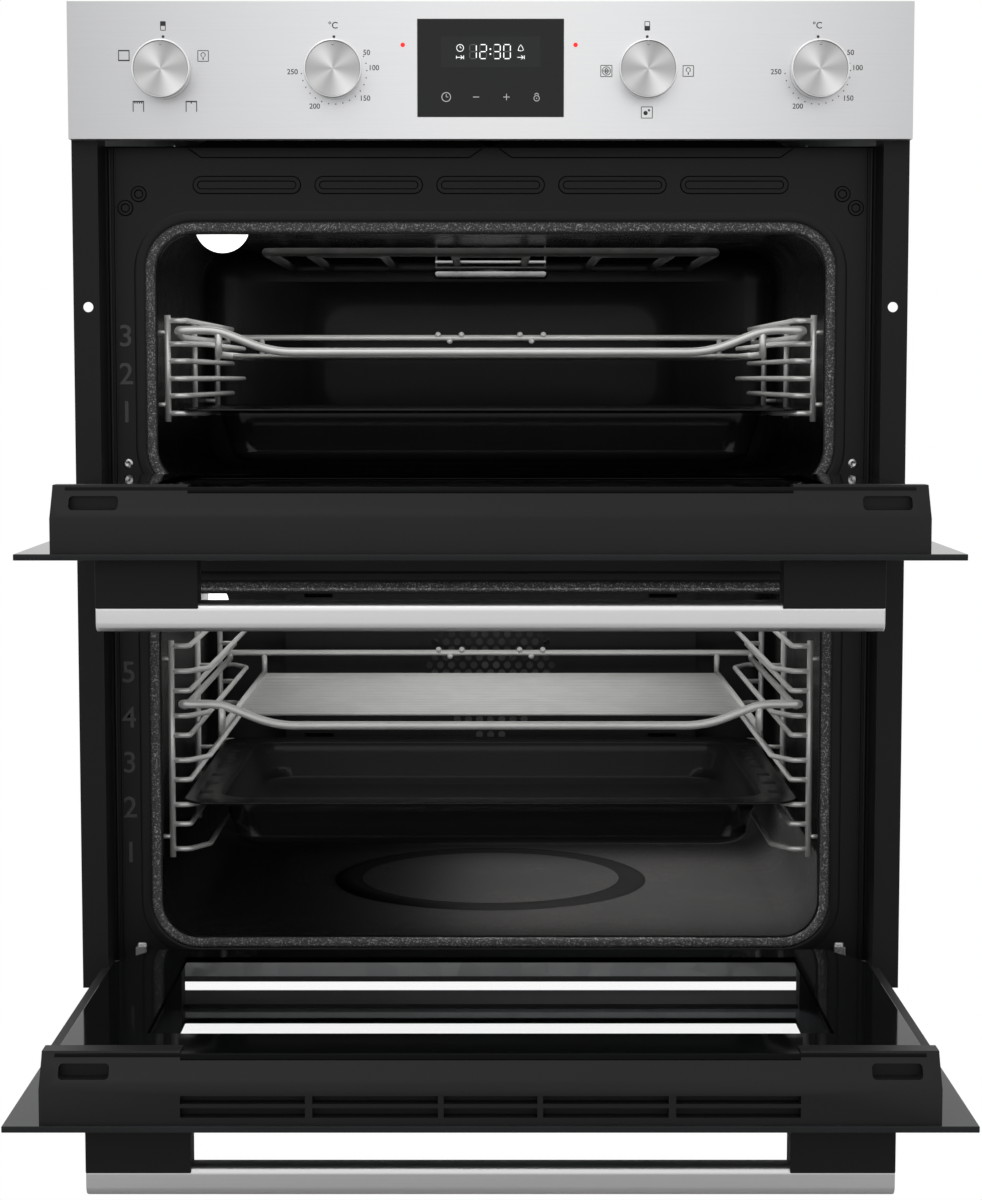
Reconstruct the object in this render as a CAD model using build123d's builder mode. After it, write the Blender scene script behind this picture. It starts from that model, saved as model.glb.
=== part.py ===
from build123d import *
import math
import os

# Built-in double oven: a small grill oven above a taller fan oven, in one carcass.
# Millimetres. X to the right, Y into the cabinet, Z up. The origin is the middle of the carcass
# base, on the plane where the side flanges meet the front of the cabinet. Both doors are open.

# ---- overall sizes ----
overall_width = 595.0
body_height = 707.0
body_depth = 554.0
flange_width = 17.5  # each side flange, out from the carcass wall
sheet = 1.0
overlap = 1.0  # how far a cutter, or a welded end, passes the face that it meets
running_fit = 0.05  # radial, shaft in bore
clearance = 0.4  # between pieces that move past each other

# ---- front face ----
fascia_height = 95.6
fascia_proud = 13.0  # front of the fascia and of the closed door glass, ahead of the flange plane
recess_depth = 35.0  # enamelled front panel behind the flange plane
flange_proud = 1.0
front_panel_bottom = 12.0
front_panel_gap = 1.9  # below the fascia
flange_hole_radius = 3.6
flange_hole_inset = 10.5
flange_hole_z = 494.0

# ---- doors ----
upper_door_bottom = 335.9
upper_door_height = 268.7
lower_door_bottom = -8.0
lower_door_height = 336.5
door_opening = 90.0  # both doors are modelled open
glass = 4.0
door_thickness = 45.3
door_box_inset = 22.5  # from the edge of the door glass
door_rail_width = 9.0
door_web = 3.0
door_window_half_width = 222.0
pivot_depth = 20.6  # behind the front of the door glass
pivot_rise = 14.9  # above the door's lower edge
pin_radius = 3.0
hinge_eye_radius = 6.5
hinge_inset = 16.0  # from the side of the door box
hinge_arm_thickness = 5.0
hinge_channel_width = 12.0
hinge_channel_length = 150.0
hinge_slot_clearance = 1.5
hinge_notch_height = 14.0

# ---- handles ----
handle_length = 500.0
handle_depth = 19.7
handle_height = 17.0
handle_standoff = 27.4
handle_drop = 31.0  # centre of the bar below the door's upper edge
bracket_length = 65.0
bracket_overlap = 4.6
bracket_height = 20.0
handle_corner = 6.0

# ---- cavities ----
cavity_half_width = 248.0
cavity_rear = 442.0
cavity_corner = 26.0
throat_inset = 5.0
throat_half_width = cavity_half_width - throat_inset
throat_corner = 27.0
upper_floor = 366.0
upper_ceiling = 553.0
upper_throat_top = 548.0
lower_floor = 30.2
lower_ceiling = 292.0
lower_throat_top = 286.3
gasket_width = 8.5
gasket_thickness = 2.0
gasket_gap = 1.0  # between the throat's edge and the gasket
insulation = 17.0
insulation_front = 75.0
element_space = 10.0

# ---- racks and what slides on them ----
post_standoff = 10.5  # post, guard and support wires in from the cavity wall
guard_standoff = 24.0
support_standoff = 36.0
post_x = cavity_half_width - post_standoff
post_radius = 2.5
post_front = 52.0
post_rear = 392.0
rack_wire_radius = 2.0
rack_foot_radius = 1.7
rack_bend = 4.0
post_foot = 6.0  # of each post below the lowest level
post_head = 4.0
support_bend = 13.0
guard_x = cavity_half_width - guard_standoff
support_x = cavity_half_width - support_standoff
support_lead = 22.0
lower_first_level = 92.9
lower_level_pitch = 33.4
lower_levels = 5
lower_guard_rise = 18.8
upper_first_level = 417.6
upper_level_pitch = 25.5
upper_levels = 3
upper_guard_rise = 13.0
upper_top_guard_rise = 17.0

shelf_side_gap = 19.0  # shelf runner to cavity wall
shelf_grid_inset = 30.0
shelf_dip_start_inset = 24.0
shelf_dip_end_inset = 79.0
shelf_half_width = cavity_half_width - shelf_side_gap
shelf_grid_half_width = shelf_half_width - shelf_grid_inset
shelf_front = 43.5
shelf_rear = 397.0
shelf_grid_front = 124.0
shelf_grid_rear = 385.0
shelf_frame_radius = 2.5
shelf_post_radius = 2.2
shelf_grid_radius = 1.5
shelf_grid_count = 24
shelf_end_lift = 5.0
shelf_dip = 16.0
shelf_grid_drop = 13.0
shelf_dip_start = shelf_half_width - shelf_dip_start_inset
shelf_dip_end = shelf_half_width - shelf_dip_end_inset
shelf_end_run = 14.0
shelf_bend = 6.0
shelf_post_head = 0.6
shelf_stops = [(25.4, 0.0), (35.6, 5.4), (45.8, 0.0)]  # across, and down from the guard's top
shelf_stop_radius = 2.5

tray_side_gap = 17.0
tray_half_width = cavity_half_width - tray_side_gap
tray_front = 41.0
tray_rear = 389.0
tray_rim = 28.0
tray_depth = 39.0
tray_sheet = 1.0
tray_draft = 11.0
tray_corner = 26.0
tray_end_flange = 30.0
tray_slot_count = 7
tray_slot_end = 25.0
tray_slot_inset = 8.0
tray_slot_width = 12.0
tray_slot_length = 14.0

upper_shelf_level = 3
upper_tray_level = 1
lower_shelf_level = 4
lower_tray_level = 2

# ---- controls ----
knob_radius = 20.5
knob_depth = 16.2
knob_gap = 0.8
knob_rise = 47.2  # above the fascia's lower edge
knob_inner_x = 110.0
knob_outer_x = 230.0
spindle_radius = 3.0
spindle_engaged = 10.0
spindle_hole_radius = 6.0
switch_width = 42.0
switch_depth = 28.0
carrier_thickness = 3.0
carrier_inset = 4.0
knob_chamfer = 1.0
thermostat_width = 36.0
module_half = 58.0
module_depth = 32.0
module_margin = 4.0
display_half_width = 51.5
display_drop = 12.3  # below the top of the fascia
display_height = 68.0
display_proud = 0.6
indicator_radius = 1.5
indicator_left_x = -61.7
indicator_right_x = 59.7
indicator_drop = 30.3

# ---- heating, fans, lamps ----
element_radius = 3.25
grill_half_width = 172.0
grill_inner_half = 140.0
grill_front = 122.0
grill_drop = 14.0
grill_passes = 6
fan_z = 183.0
impeller_radius = 72.0
impeller_depth = 12.0
impeller_blades = 12
ring_radius = 86.0
fan_cover_half_width = 182.0
fan_cover_depth = 25.0
fan_cover_bottom = 44.0
fan_cover_top = 278.0
fan_hole_radius = 3.1
fan_hole_pitch = 9.9
fan_hole_row = 6.9
fan_grille_radius = 60.0
fan_boss_radius = 73.0
motor_radius = 38.0
motor_length = 46.0
shaft_radius = 4.0
lens_radius = 20.0
lens_height = 16.0
socket_radius = 15.0
socket_length = 26.0
upper_lamp_inset = 47.0
upper_lamp_y = 95.0
lower_lamp_y = 418.0
lower_lamp_z = 244.0
blower_half_length = 90.0
blower_radius = 28.0
blower_y = 250.0
blower_rise = 35.5  # above the cooling duct
blower_blades = 20
duct_depth = 360.0
duct_lip = 12.0

# ---- worked out from the sizes above ----
half_width = overall_width / 2
carcass_half_width = half_width - flange_width
flange_hole_x = half_width - flange_hole_inset
door_box_half_width = half_width - door_box_inset
hinge_x = door_box_half_width - hinge_inset
upper_lamp_x = upper_lamp_inset - cavity_half_width
pivot_y = pivot_depth - fascia_proud
upper_pivot_z = upper_door_bottom + pivot_rise
lower_pivot_z = lower_door_bottom + pivot_rise
panel_front = recess_depth
panel_rear = recess_depth + sheet
inner_glass_face = door_thickness - glass  # depth of the inner glass's hidden face
fascia_bottom = body_height - fascia_height
front_panel_top = fascia_bottom - front_panel_gap
knob_z = fascia_bottom + knob_rise
display_top = body_height - display_drop
display_bottom = display_top - display_height
indicator_z = body_height - indicator_drop
blower_z = front_panel_top + blower_rise
rear_inner = body_depth - sheet

os.makedirs("parts", exist_ok=True)


def block(x0, x1, y0, y1, z0, z1, mode=Mode.ADD):
    """A box between two corners, in the frame of the open BuildPart."""
    with Locations(((x0 + x1) / 2, (y0 + y1) / 2, (z0 + z1) / 2)):
        Box(abs(x1 - x0), abs(y1 - y0), abs(z1 - z0), mode=mode)


def rod_y(x, z, y0, y1, radius, mode=Mode.ADD):
    """A round bar along Y."""
    with Locations((x, (y0 + y1) / 2, z)):
        Cylinder(radius, y1 - y0, rotation=(90, 0, 0), mode=mode)


def rod_x(x0, x1, y, z, radius, mode=Mode.ADD):
    """A round bar along X."""
    with Locations(((x0 + x1) / 2, y, z)):
        Cylinder(radius, abs(x1 - x0), rotation=(0, 90, 0), mode=mode)


def rod_z(x, y, z0, z1, radius, mode=Mode.ADD):
    """A round bar along Z."""
    with Locations((x, y, (z0 + z1) / 2)):
        Cylinder(radius, z1 - z0, mode=mode)


def wire(points, radius, bend):
    """A bent round wire through the points, each corner turned with the bend radius."""
    with BuildLine() as path:
        FilletPolyline(*points, radius=bend)
    start = Plane(origin=path.line @ 0, z_dir=path.line % 0)
    with BuildSketch(start) as section:
        Circle(radius)
    sweep(sections=section.sketch, path=path.line)


def rounded_slab(half, bottom, top, corner, y0, y1, mode=Mode.ADD):
    """A rounded rectangle in the XZ plane, from y0 to y1."""
    plane = Plane(origin=(0, y0, (bottom + top) / 2), x_dir=(1, 0, 0), z_dir=(0, 1, 0))
    with BuildSketch(plane) as outline:
        RectangleRounded(2 * half, top - bottom, corner)
    extrude(outline.sketch, amount=y1 - y0, mode=mode)


def slot_rows(x0, x1, y0, y1, bottom, pitch, height, rows):
    """Level slots cut one above another through a wall."""
    for row in range(rows):
        z = bottom + pitch * row
        block(x0, x1, y0, y1, z, z + height, mode=Mode.SUBTRACT)


# ================= carcass =================

with BuildPart() as front_frame:
    for side in (-1, 1):
        block(side * (carcass_half_width - sheet), side * half_width, -flange_proud, 0, 0, body_height)
        block(
            side * (carcass_half_width - sheet),
            side * carcass_half_width,
            0,
            panel_rear,
            0,
            body_height,
        )
        # the door glass swings through this notch
        block(
            side * (carcass_half_width - 2 * sheet),
            side * (half_width + sheet),
            -2 * flange_proud,
            pivot_y + pivot_rise + 2 * sheet,
            upper_pivot_z - pivot_depth - glass - clearance - sheet,
            upper_pivot_z - pivot_depth + glass + hinge_notch_height / 3,
            mode=Mode.SUBTRACT,
        )
        rod_y(
            side * flange_hole_x, flange_hole_z, -2 * overlap, 2 * overlap, flange_hole_radius,
            mode=Mode.SUBTRACT,
        )
    block(
        -carcass_half_width,
        carcass_half_width,
        0,
        panel_rear,
        body_height - sheet,
        body_height,
    )
front_frame.part.label = "front_frame"
export_step(front_frame.part, "parts/front_frame.step")

slot_length = 77.0
slot_pitch = 88.3
slot_z = 582.9
slot_height = 11.4
slot_count = 5
bead = 0.8
bead_width = 2.5
screw_seats = [(255.0, -6.5), (264.8, -16.5)]  # across, and down from the row of slots
seat_radius = 5.0
seat_bore = 3.4
front_panel_half = carcass_half_width - sheet

with BuildPart() as front_panel:
    block(
        -front_panel_half, front_panel_half, panel_front, panel_rear, front_panel_bottom, front_panel_top
    )
    rounded_slab(
        throat_half_width, upper_floor, upper_throat_top, throat_corner,
        panel_front - overlap, panel_rear + overlap, mode=Mode.SUBTRACT,
    )
    rounded_slab(
        throat_half_width, lower_floor, lower_throat_top, throat_corner,
        panel_front - overlap, panel_rear + overlap, mode=Mode.SUBTRACT,
    )
    bead_plane = Plane(origin=(0, panel_front, slot_z), x_dir=(1, 0, 0), z_dir=(0, -1, 0))
    with BuildSketch(bead_plane) as beads:
        with GridLocations(slot_pitch, 0, slot_count, 1):
            SlotOverall(slot_length, slot_height)
            SlotOverall(slot_length - 2 * bead_width, slot_height - 2 * bead_width, mode=Mode.SUBTRACT)
        for side in (-1, 1):
            with Locations([(side * x, down) for x, down in screw_seats]):
                Circle(seat_radius)
                Circle(seat_bore, mode=Mode.SUBTRACT)
    extrude(beads.sketch, amount=bead)
    for side in (-1, 1):
        for pivot_z in (upper_pivot_z, lower_pivot_z):
            arm_half = hinge_arm_thickness / 2 + hinge_slot_clearance
            block(
                side * hinge_x - arm_half, side * hinge_x + arm_half,
                panel_front - overlap, panel_rear + overlap,
                pivot_z - hinge_eye_radius - hinge_slot_clearance,
                pivot_z + hinge_eye_radius + hinge_slot_clearance,
                mode=Mode.SUBTRACT,
            )
front_panel.part.label = "front_panel"
export_step(front_panel.part, "parts/front_panel.step")

with BuildPart() as base_plate:
    block(-front_panel_half, front_panel_half, panel_front, rear_inner, 0, sheet)
    block(-front_panel_half, front_panel_half, panel_front, panel_rear, 0, front_panel_bottom)
    for side in (-1, 1):
        arm_half = hinge_arm_thickness / 2 + hinge_slot_clearance
        block(
            side * hinge_x - arm_half, side * hinge_x + arm_half,
            panel_front - overlap, panel_rear + sheet,
            -sheet, front_panel_bottom + sheet, mode=Mode.SUBTRACT,
        )
base_plate.part.label = "base_plate"
export_step(base_plate.part, "parts/base_plate.step")

side_slot_rows = 8
side_slot_front = 440.0
side_slot_length = 60.0
side_slot_drop = 147.0
side_slot_bottom = body_height - side_slot_drop
side_slot_pitch = 12.0
side_slot_height = 4.0

with BuildPart() as outer_casing:
    block(-carcass_half_width, carcass_half_width, panel_rear, rear_inner, 0, body_height)
    block(
        -carcass_half_width + sheet, carcass_half_width - sheet,
        panel_rear - overlap, rear_inner + overlap, -overlap, body_height - sheet,
        mode=Mode.SUBTRACT,
    )
    # cooling slots in both sides, near the rear
    for side in (-1, 1):
        slot_rows(
            side * (carcass_half_width - 2 * sheet), side * (carcass_half_width + sheet),
            side_slot_front, side_slot_front + side_slot_length,
            side_slot_bottom, side_slot_pitch, side_slot_height, side_slot_rows,
        )
outer_casing.part.label = "outer_casing"
export_step(outer_casing.part, "parts/outer_casing.step")

rear_slot_inner = 60.0
rear_slot_outer = 200.0
rear_slot_bottom = 110.0
rear_slot_pitch = 16.0
rear_slot_height = 5.0
rear_slot_rows = 9
top_slot_half = 110.0
top_slot_drop = 107.0
top_slot_bottom = body_height - top_slot_drop
top_slot_pitch = 14.0
top_slot_rows = 6

with BuildPart() as rear_cover:
    block(-carcass_half_width, carcass_half_width, rear_inner, body_depth, 0, body_height)
    for side in (-1, 1):
        slot_rows(
            side * rear_slot_inner, side * rear_slot_outer, rear_inner - overlap, body_depth + overlap,
            rear_slot_bottom, rear_slot_pitch, rear_slot_height, rear_slot_rows,
        )
    slot_rows(
        -top_slot_half, top_slot_half, rear_inner - overlap, body_depth + overlap,
        top_slot_bottom, top_slot_pitch, rear_slot_height, top_slot_rows,
    )
rear_cover.part.label = "rear_cover"
export_step(rear_cover.part, "parts/rear_cover.step")

# ================= cavities =================

fan_shaft_hole = 9.0
lamp_hole_radius = 16.0


def liner(floor, ceiling):
    """An enamelled box with rounded edges, open at the front."""
    rounded_slab(
        cavity_half_width + sheet, floor - sheet, ceiling + sheet, cavity_corner + sheet,
        panel_rear, cavity_rear + sheet,
    )
    rounded_slab(
        cavity_half_width, floor, ceiling, cavity_corner, panel_rear - overlap, cavity_rear,
        mode=Mode.SUBTRACT,
    )


with BuildPart() as upper_cavity:
    liner(upper_floor, upper_ceiling)
    rod_z(
        upper_lamp_x, upper_lamp_y, upper_ceiling - overlap, upper_ceiling + sheet + overlap,
        lamp_hole_radius, mode=Mode.SUBTRACT,
    )
upper_cavity.part.label = "upper_cavity"
export_step(upper_cavity.part, "parts/upper_cavity.step")

floor_disc_radius = 128.0
floor_disc_y = 255.0
floor_disc_height = 1.2

with BuildPart() as lower_cavity:
    liner(lower_floor, lower_ceiling)
    rod_y(
        0, fan_z, cavity_rear - overlap, cavity_rear + sheet + overlap, fan_shaft_hole,
        mode=Mode.SUBTRACT,
    )
    rod_x(
        -cavity_half_width - sheet - overlap, -cavity_half_width + overlap,
        lower_lamp_y, lower_lamp_z, lamp_hole_radius, mode=Mode.SUBTRACT,
    )
    # a shallow round embossing strengthens the floor
    rod_z(0, floor_disc_y, lower_floor, lower_floor + floor_disc_height, floor_disc_radius)
lower_cavity.part.label = "lower_cavity"
export_step(lower_cavity.part, "parts/lower_cavity.step")


def gasket(floor, ceiling):
    """A flat fibre ring round a cavity's mouth."""
    rounded_slab(
        throat_half_width + gasket_width, floor - gasket_width, ceiling + gasket_width,
        throat_corner + gasket_width, panel_front - gasket_thickness, panel_front,
    )
    rounded_slab(
        throat_half_width + gasket_gap, floor - gasket_gap, ceiling + gasket_gap,
        throat_corner + gasket_gap, panel_front - 2 * gasket_thickness, panel_front + overlap,
        mode=Mode.SUBTRACT,
    )


with BuildPart() as upper_gasket:
    gasket(upper_floor, upper_throat_top)
upper_gasket.part.label = "upper_gasket"
export_step(upper_gasket.part, "parts/upper_gasket.step")

with BuildPart() as lower_gasket:
    gasket(lower_floor, lower_throat_top)
lower_gasket.part.label = "lower_gasket"
export_step(lower_gasket.part, "parts/lower_gasket.step")


def blanket(floor, ceiling, below):
    """Mineral wool wrapped round a liner, with a gap under the floor."""
    outer_floor = floor - sheet - below - insulation
    rounded_slab(
        cavity_half_width + sheet + insulation, outer_floor, ceiling + sheet + insulation,
        cavity_corner + insulation, insulation_front, cavity_rear + sheet,
    )
    rounded_slab(
        cavity_half_width + sheet, floor - sheet - below, ceiling + sheet, cavity_corner + sheet,
        insulation_front - overlap, cavity_rear + 2 * sheet, mode=Mode.SUBTRACT,
    )


with BuildPart() as upper_insulation:
    blanket(upper_floor, upper_ceiling, element_space)
    rod_z(
        upper_lamp_x, upper_lamp_y, upper_ceiling + sheet / 2, upper_ceiling + 2 * insulation,
        socket_radius, mode=Mode.SUBTRACT,
    )
upper_insulation.part.label = "upper_insulation"
export_step(upper_insulation.part, "parts/upper_insulation.step")

with BuildPart() as lower_insulation:
    blanket(lower_floor, lower_ceiling, 0)
    rod_x(
        -cavity_half_width - 2 * insulation, -cavity_half_width - sheet / 2, lower_lamp_y, lower_lamp_z,
        socket_radius, mode=Mode.SUBTRACT,
    )
lower_insulation.part.label = "lower_insulation"
export_step(lower_insulation.part, "parts/lower_insulation.step")

# ================= heating =================

element_bend = 10.0
element_z = upper_ceiling - grill_drop
grill_rear = 405.0
grill_tail_x = 40.0
inner_loop_rear = 393.0
inner_tail_x = 15.0
grill_pass_front = 145.0
grill_pass_rear = 375.0
grill_plate_half = 50.0
grill_plate_height = 16.0
grill_plate_thickness = 3.0

with BuildPart() as upper_grill_element:
    # outer loop, then the inner serpentine, both plugged into the rear wall
    wire(
        [
            (-grill_tail_x, cavity_rear, element_z), (-grill_tail_x, grill_rear, element_z),
            (-grill_half_width, grill_rear, element_z), (-grill_half_width, grill_front, element_z),
            (grill_half_width, grill_front, element_z), (grill_half_width, grill_rear, element_z),
            (grill_tail_x, grill_rear, element_z), (grill_tail_x, cavity_rear, element_z),
        ],
        element_radius, element_bend,
    )
    pass_pitch = 2 * grill_inner_half / (grill_passes - 1)
    inner = [
        (-inner_tail_x, cavity_rear, element_z), (-inner_tail_x, inner_loop_rear, element_z),
        (-grill_inner_half, inner_loop_rear, element_z),
    ]
    for number in range(grill_passes):
        x = -grill_inner_half + number * pass_pitch
        ends = (grill_pass_rear, grill_pass_front)
        if number % 2:
            ends = (grill_pass_front, grill_pass_rear)
        if number > 0:
            inner.append((x, ends[0], element_z))
        if number < grill_passes - 1:
            inner.append((x, ends[1], element_z))
    inner += [
        (grill_inner_half, inner_loop_rear, element_z), (inner_tail_x, inner_loop_rear, element_z),
        (inner_tail_x, cavity_rear, element_z),
    ]
    wire(inner, element_radius, element_bend)
    # the two loops hang from a common plate on the rear wall
    block(
        -grill_plate_half, grill_plate_half, cavity_rear - grill_plate_thickness, cavity_rear,
        element_z - grill_plate_height / 2, element_z + grill_plate_height / 2,
    )
upper_grill_element.part.label = "upper_grill_element"
export_step(upper_grill_element.part, "parts/upper_grill_element.step")

strap_half = 46.0
strap_y = 300.0
strap_width = 28.0
strap_thickness = 1.2
strap_leg_inset = 8.0
strap_leg_width = 12.0
strap_top = element_z - element_radius

with BuildPart() as grill_bracket:
    block(-strap_half, strap_half, strap_y, strap_y + strap_width, strap_top - strap_thickness, strap_top)
    for side in (-1, 1):
        block(
            side * (strap_half - strap_thickness), side * strap_half,
            strap_y + strap_leg_inset, strap_y + strap_leg_inset + strap_leg_width,
            strap_top, upper_ceiling,
        )
grill_bracket.part.label = "grill_bracket"
export_step(grill_bracket.part, "parts/grill_bracket.step")

base_element_z = upper_floor - sheet - element_radius
base_element_half = 170.0
base_element_front = 130.0
base_element_rear = 400.0
base_tail_x = 60.0
base_tail_end = 430.0

with BuildPart() as upper_base_element:
    wire(
        [
            (-base_tail_x, base_tail_end, base_element_z),
            (-base_tail_x, base_element_rear, base_element_z),
            (-base_element_half, base_element_rear, base_element_z),
            (-base_element_half, base_element_front, base_element_z),
            (base_element_half, base_element_front, base_element_z),
            (base_element_half, base_element_rear, base_element_z),
            (base_tail_x, base_element_rear, base_element_z),
            (base_tail_x, base_tail_end, base_element_z),
        ],
        element_radius, element_bend,
    )
upper_base_element.part.label = "upper_base_element"
export_step(upper_base_element.part, "parts/upper_base_element.step")

ring_standoff = 10.0
ring_y = cavity_rear - ring_standoff

with BuildPart() as ring_element:
    ring_plane = Plane(origin=(ring_radius, ring_y, fan_z), x_dir=(1, 0, 0), z_dir=(0, 0, 1))
    with BuildSketch(ring_plane) as section:
        Circle(element_radius)
    revolve(section.sketch, axis=Axis((0, ring_y, fan_z), (0, 1, 0)), revolution_arc=360)
    for side in (-1, 1):
        rod_y(side * ring_radius, fan_z, ring_y, cavity_rear, element_radius)
ring_element.part.label = "ring_element"
export_step(ring_element.part, "parts/ring_element.step")

cover_front = cavity_rear - fan_cover_depth
fan_cover_corner = 8.0
fan_boss_height = 1.5
fan_boss_width = 5.0
outlet_inner = 140.0
outlet_outer = 165.0
outlet_bottom = 75.0
outlet_pitch = 25.0
outlet_height = 4.0
outlet_rows = 8

with BuildPart() as fan_cover:
    rounded_slab(
        fan_cover_half_width, fan_cover_bottom, fan_cover_top, fan_cover_corner, cover_front, cavity_rear
    )
    rounded_slab(
        fan_cover_half_width - sheet, fan_cover_bottom + sheet, fan_cover_top - sheet,
        fan_cover_corner - sheet, cover_front + sheet, cavity_rear + overlap, mode=Mode.SUBTRACT,
    )
    # raised ring round the air inlet
    rod_y(0, fan_z, cover_front - fan_boss_height, cover_front + sheet / 2, fan_boss_radius)
    rod_y(
        0, fan_z, cover_front - fan_boss_height - overlap, cover_front,
        fan_boss_radius - fan_boss_width, mode=Mode.SUBTRACT,
    )
    inlet_plane = Plane(origin=(0, cover_front - overlap, fan_z), x_dir=(1, 0, 0), z_dir=(0, 1, 0))
    rows = int(fan_grille_radius // fan_hole_row)
    columns = int(fan_grille_radius // fan_hole_pitch)
    with BuildSketch(inlet_plane) as inlet:
        for row in range(-rows, rows + 1):
            shift = fan_hole_pitch / 2 if row % 2 else 0
            for column in range(-columns - 1, columns + 2):
                x = column * fan_hole_pitch + shift
                z = row * fan_hole_row
                if math.hypot(x, z) < fan_grille_radius - fan_hole_radius:
                    with Locations((x, z)):
                        Circle(fan_hole_radius)
    extrude(inlet.sketch, amount=sheet + 2 * overlap, mode=Mode.SUBTRACT)
    # heated air leaves through rows of slots at both sides
    for side in (-1, 1):
        slot_rows(
            side * outlet_inner, side * outlet_outer, cover_front - overlap, cover_front + sheet + overlap,
            outlet_bottom, outlet_pitch, outlet_height, outlet_rows,
        )
fan_cover.part.label = "fan_cover"
export_step(fan_cover.part, "parts/fan_cover.step")

impeller_gap = 6.0
impeller_hub_radius = 12.0
impeller_front = cover_front + impeller_gap
impeller_rear = impeller_front + impeller_depth
blade_centre = impeller_radius * 0.62
blade_length = impeller_radius * 0.66

with BuildPart() as fan_impeller:
    rod_y(0, fan_z, impeller_rear - sheet, impeller_rear, impeller_radius)
    rod_y(0, fan_z, impeller_front, impeller_rear, impeller_hub_radius)
    for number in range(impeller_blades):
        angle = math.radians(360 / impeller_blades * number)
        centre = (
            blade_centre * math.cos(angle),
            impeller_rear - impeller_depth / 2,
            fan_z + blade_centre * math.sin(angle),
        )
        with Locations(Location(centre, (0, -math.degrees(angle), 0))):
            Box(blade_length, impeller_depth, sheet)
    rod_y(0, fan_z, impeller_rear, cavity_rear + sheet + motor_length / 2, shaft_radius)
fan_impeller.part.label = "fan_impeller"
export_step(fan_impeller.part, "parts/fan_impeller.step")

motor_front = cavity_rear + sheet
motor_foot_reach = 14.0
motor_foot_height = 32.0

with BuildPart() as fan_motor:
    rod_y(0, fan_z, motor_front, motor_front + motor_length, motor_radius)
    block(
        -motor_radius - motor_foot_reach, motor_radius + motor_foot_reach,
        motor_front, motor_front + 2 * sheet,
        fan_z - motor_foot_height / 2, fan_z + motor_foot_height / 2,
    )
    rod_y(
        0, fan_z, motor_front - overlap, motor_front + motor_length / 2 + overlap,
        shaft_radius + running_fit, mode=Mode.SUBTRACT,
    )
fan_motor.part.label = "fan_motor"
export_step(fan_motor.part, "parts/fan_motor.step")

# ================= lamps =================


def dome(plane):
    """A domed glass cover: a spherical cap on a flat round foot."""
    ball = (lens_radius**2 + lens_height**2) / (2 * lens_height)
    half_angle = math.atan2(lens_radius, ball - lens_height) / 2
    with BuildSketch(plane) as half:
        with BuildLine():
            Line((0, 0), (lens_radius, 0))
            ThreePointArc(
                (lens_radius, 0),
                (ball * math.sin(half_angle), lens_height - ball + ball * math.cos(half_angle)),
                (0, lens_height),
            )
            Line((0, lens_height), (0, 0))
        make_face()
    revolve(half.sketch, axis=Axis(plane.origin, plane.y_dir), revolution_arc=360)


with BuildPart() as upper_lamp_lens:
    dome(Plane(origin=(upper_lamp_x, upper_lamp_y, upper_ceiling), x_dir=(1, 0, 0), z_dir=(0, 1, 0)))
upper_lamp_lens.part.label = "upper_lamp_lens"
export_step(upper_lamp_lens.part, "parts/upper_lamp_lens.step")

with BuildPart() as lower_lamp_lens:
    dome(Plane(origin=(-cavity_half_width, lower_lamp_y, lower_lamp_z), x_dir=(0, 1, 0), z_dir=(0, 0, -1)))
lower_lamp_lens.part.label = "lower_lamp_lens"
export_step(lower_lamp_lens.part, "parts/lower_lamp_lens.step")


with BuildPart() as lamp_holders:
    rod_z(upper_lamp_x, upper_lamp_y, upper_ceiling, upper_ceiling + socket_length, socket_radius)
    rod_x(
        -cavity_half_width - socket_length, -cavity_half_width, lower_lamp_y, lower_lamp_z, socket_radius
    )
lamp_holders.part.label = "lamp_holders"
export_step(lamp_holders.part, "parts/lamp_holders.step")

# ================= side racks =================


def side_rack(side, levels, guards):
    """Bent wire ladder: two posts, and at each level a support wire with a guard wire over it."""
    top = guards[-1]
    for y in (post_front, post_rear):
        rod_z(side * post_x, y, levels[0] - post_foot, top + post_head, post_radius)
        for z in ((levels[0] + guards[0]) / 2, (levels[-1] + guards[-1]) / 2):
            rod_x(side * (post_x - overlap), side * cavity_half_width, y, z, rack_foot_radius)
    rod_z(side * post_x, (post_front + post_rear) / 2, levels[0] - post_foot, top + post_head, post_radius)
    for support, guard in zip(levels, guards):
        wire(
            [
                (side * post_x, post_front, support),
                (side * (support_x + support_bend), post_front, support),
                (side * support_x, post_front + support_lead, support),
                (side * support_x, post_rear - support_lead, support),
                (side * (support_x + support_bend), post_rear, support),
                (side * post_x, post_rear, support),
            ],
            rack_wire_radius, rack_bend,
        )
        wire(
            [
                (side * post_x, post_front, guard),
                (side * guard_x, post_front, guard),
                (side * guard_x, post_rear, guard),
                (side * post_x, post_rear, guard),
            ],
            rack_wire_radius, rack_bend,
        )
        rod_x(side * guard_x, side * post_x, (post_front + post_rear) / 2, guard, rack_foot_radius)


upper_supports = [upper_first_level + upper_level_pitch * n for n in range(upper_levels)]
upper_guards = [z + upper_guard_rise for z in upper_supports]
upper_guards[-1] = upper_supports[-1] + upper_top_guard_rise
lower_supports = [lower_first_level + lower_level_pitch * n for n in range(lower_levels)]
lower_guards = [z + lower_guard_rise for z in lower_supports]

with BuildPart() as upper_rack_left:
    side_rack(-1, upper_supports, upper_guards)
upper_rack_left.part.label = "upper_rack_left"
export_step(upper_rack_left.part, "parts/upper_rack_left.step")

with BuildPart() as upper_rack_right:
    side_rack(1, upper_supports, upper_guards)
upper_rack_right.part.label = "upper_rack_right"
export_step(upper_rack_right.part, "parts/upper_rack_right.step")

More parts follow.
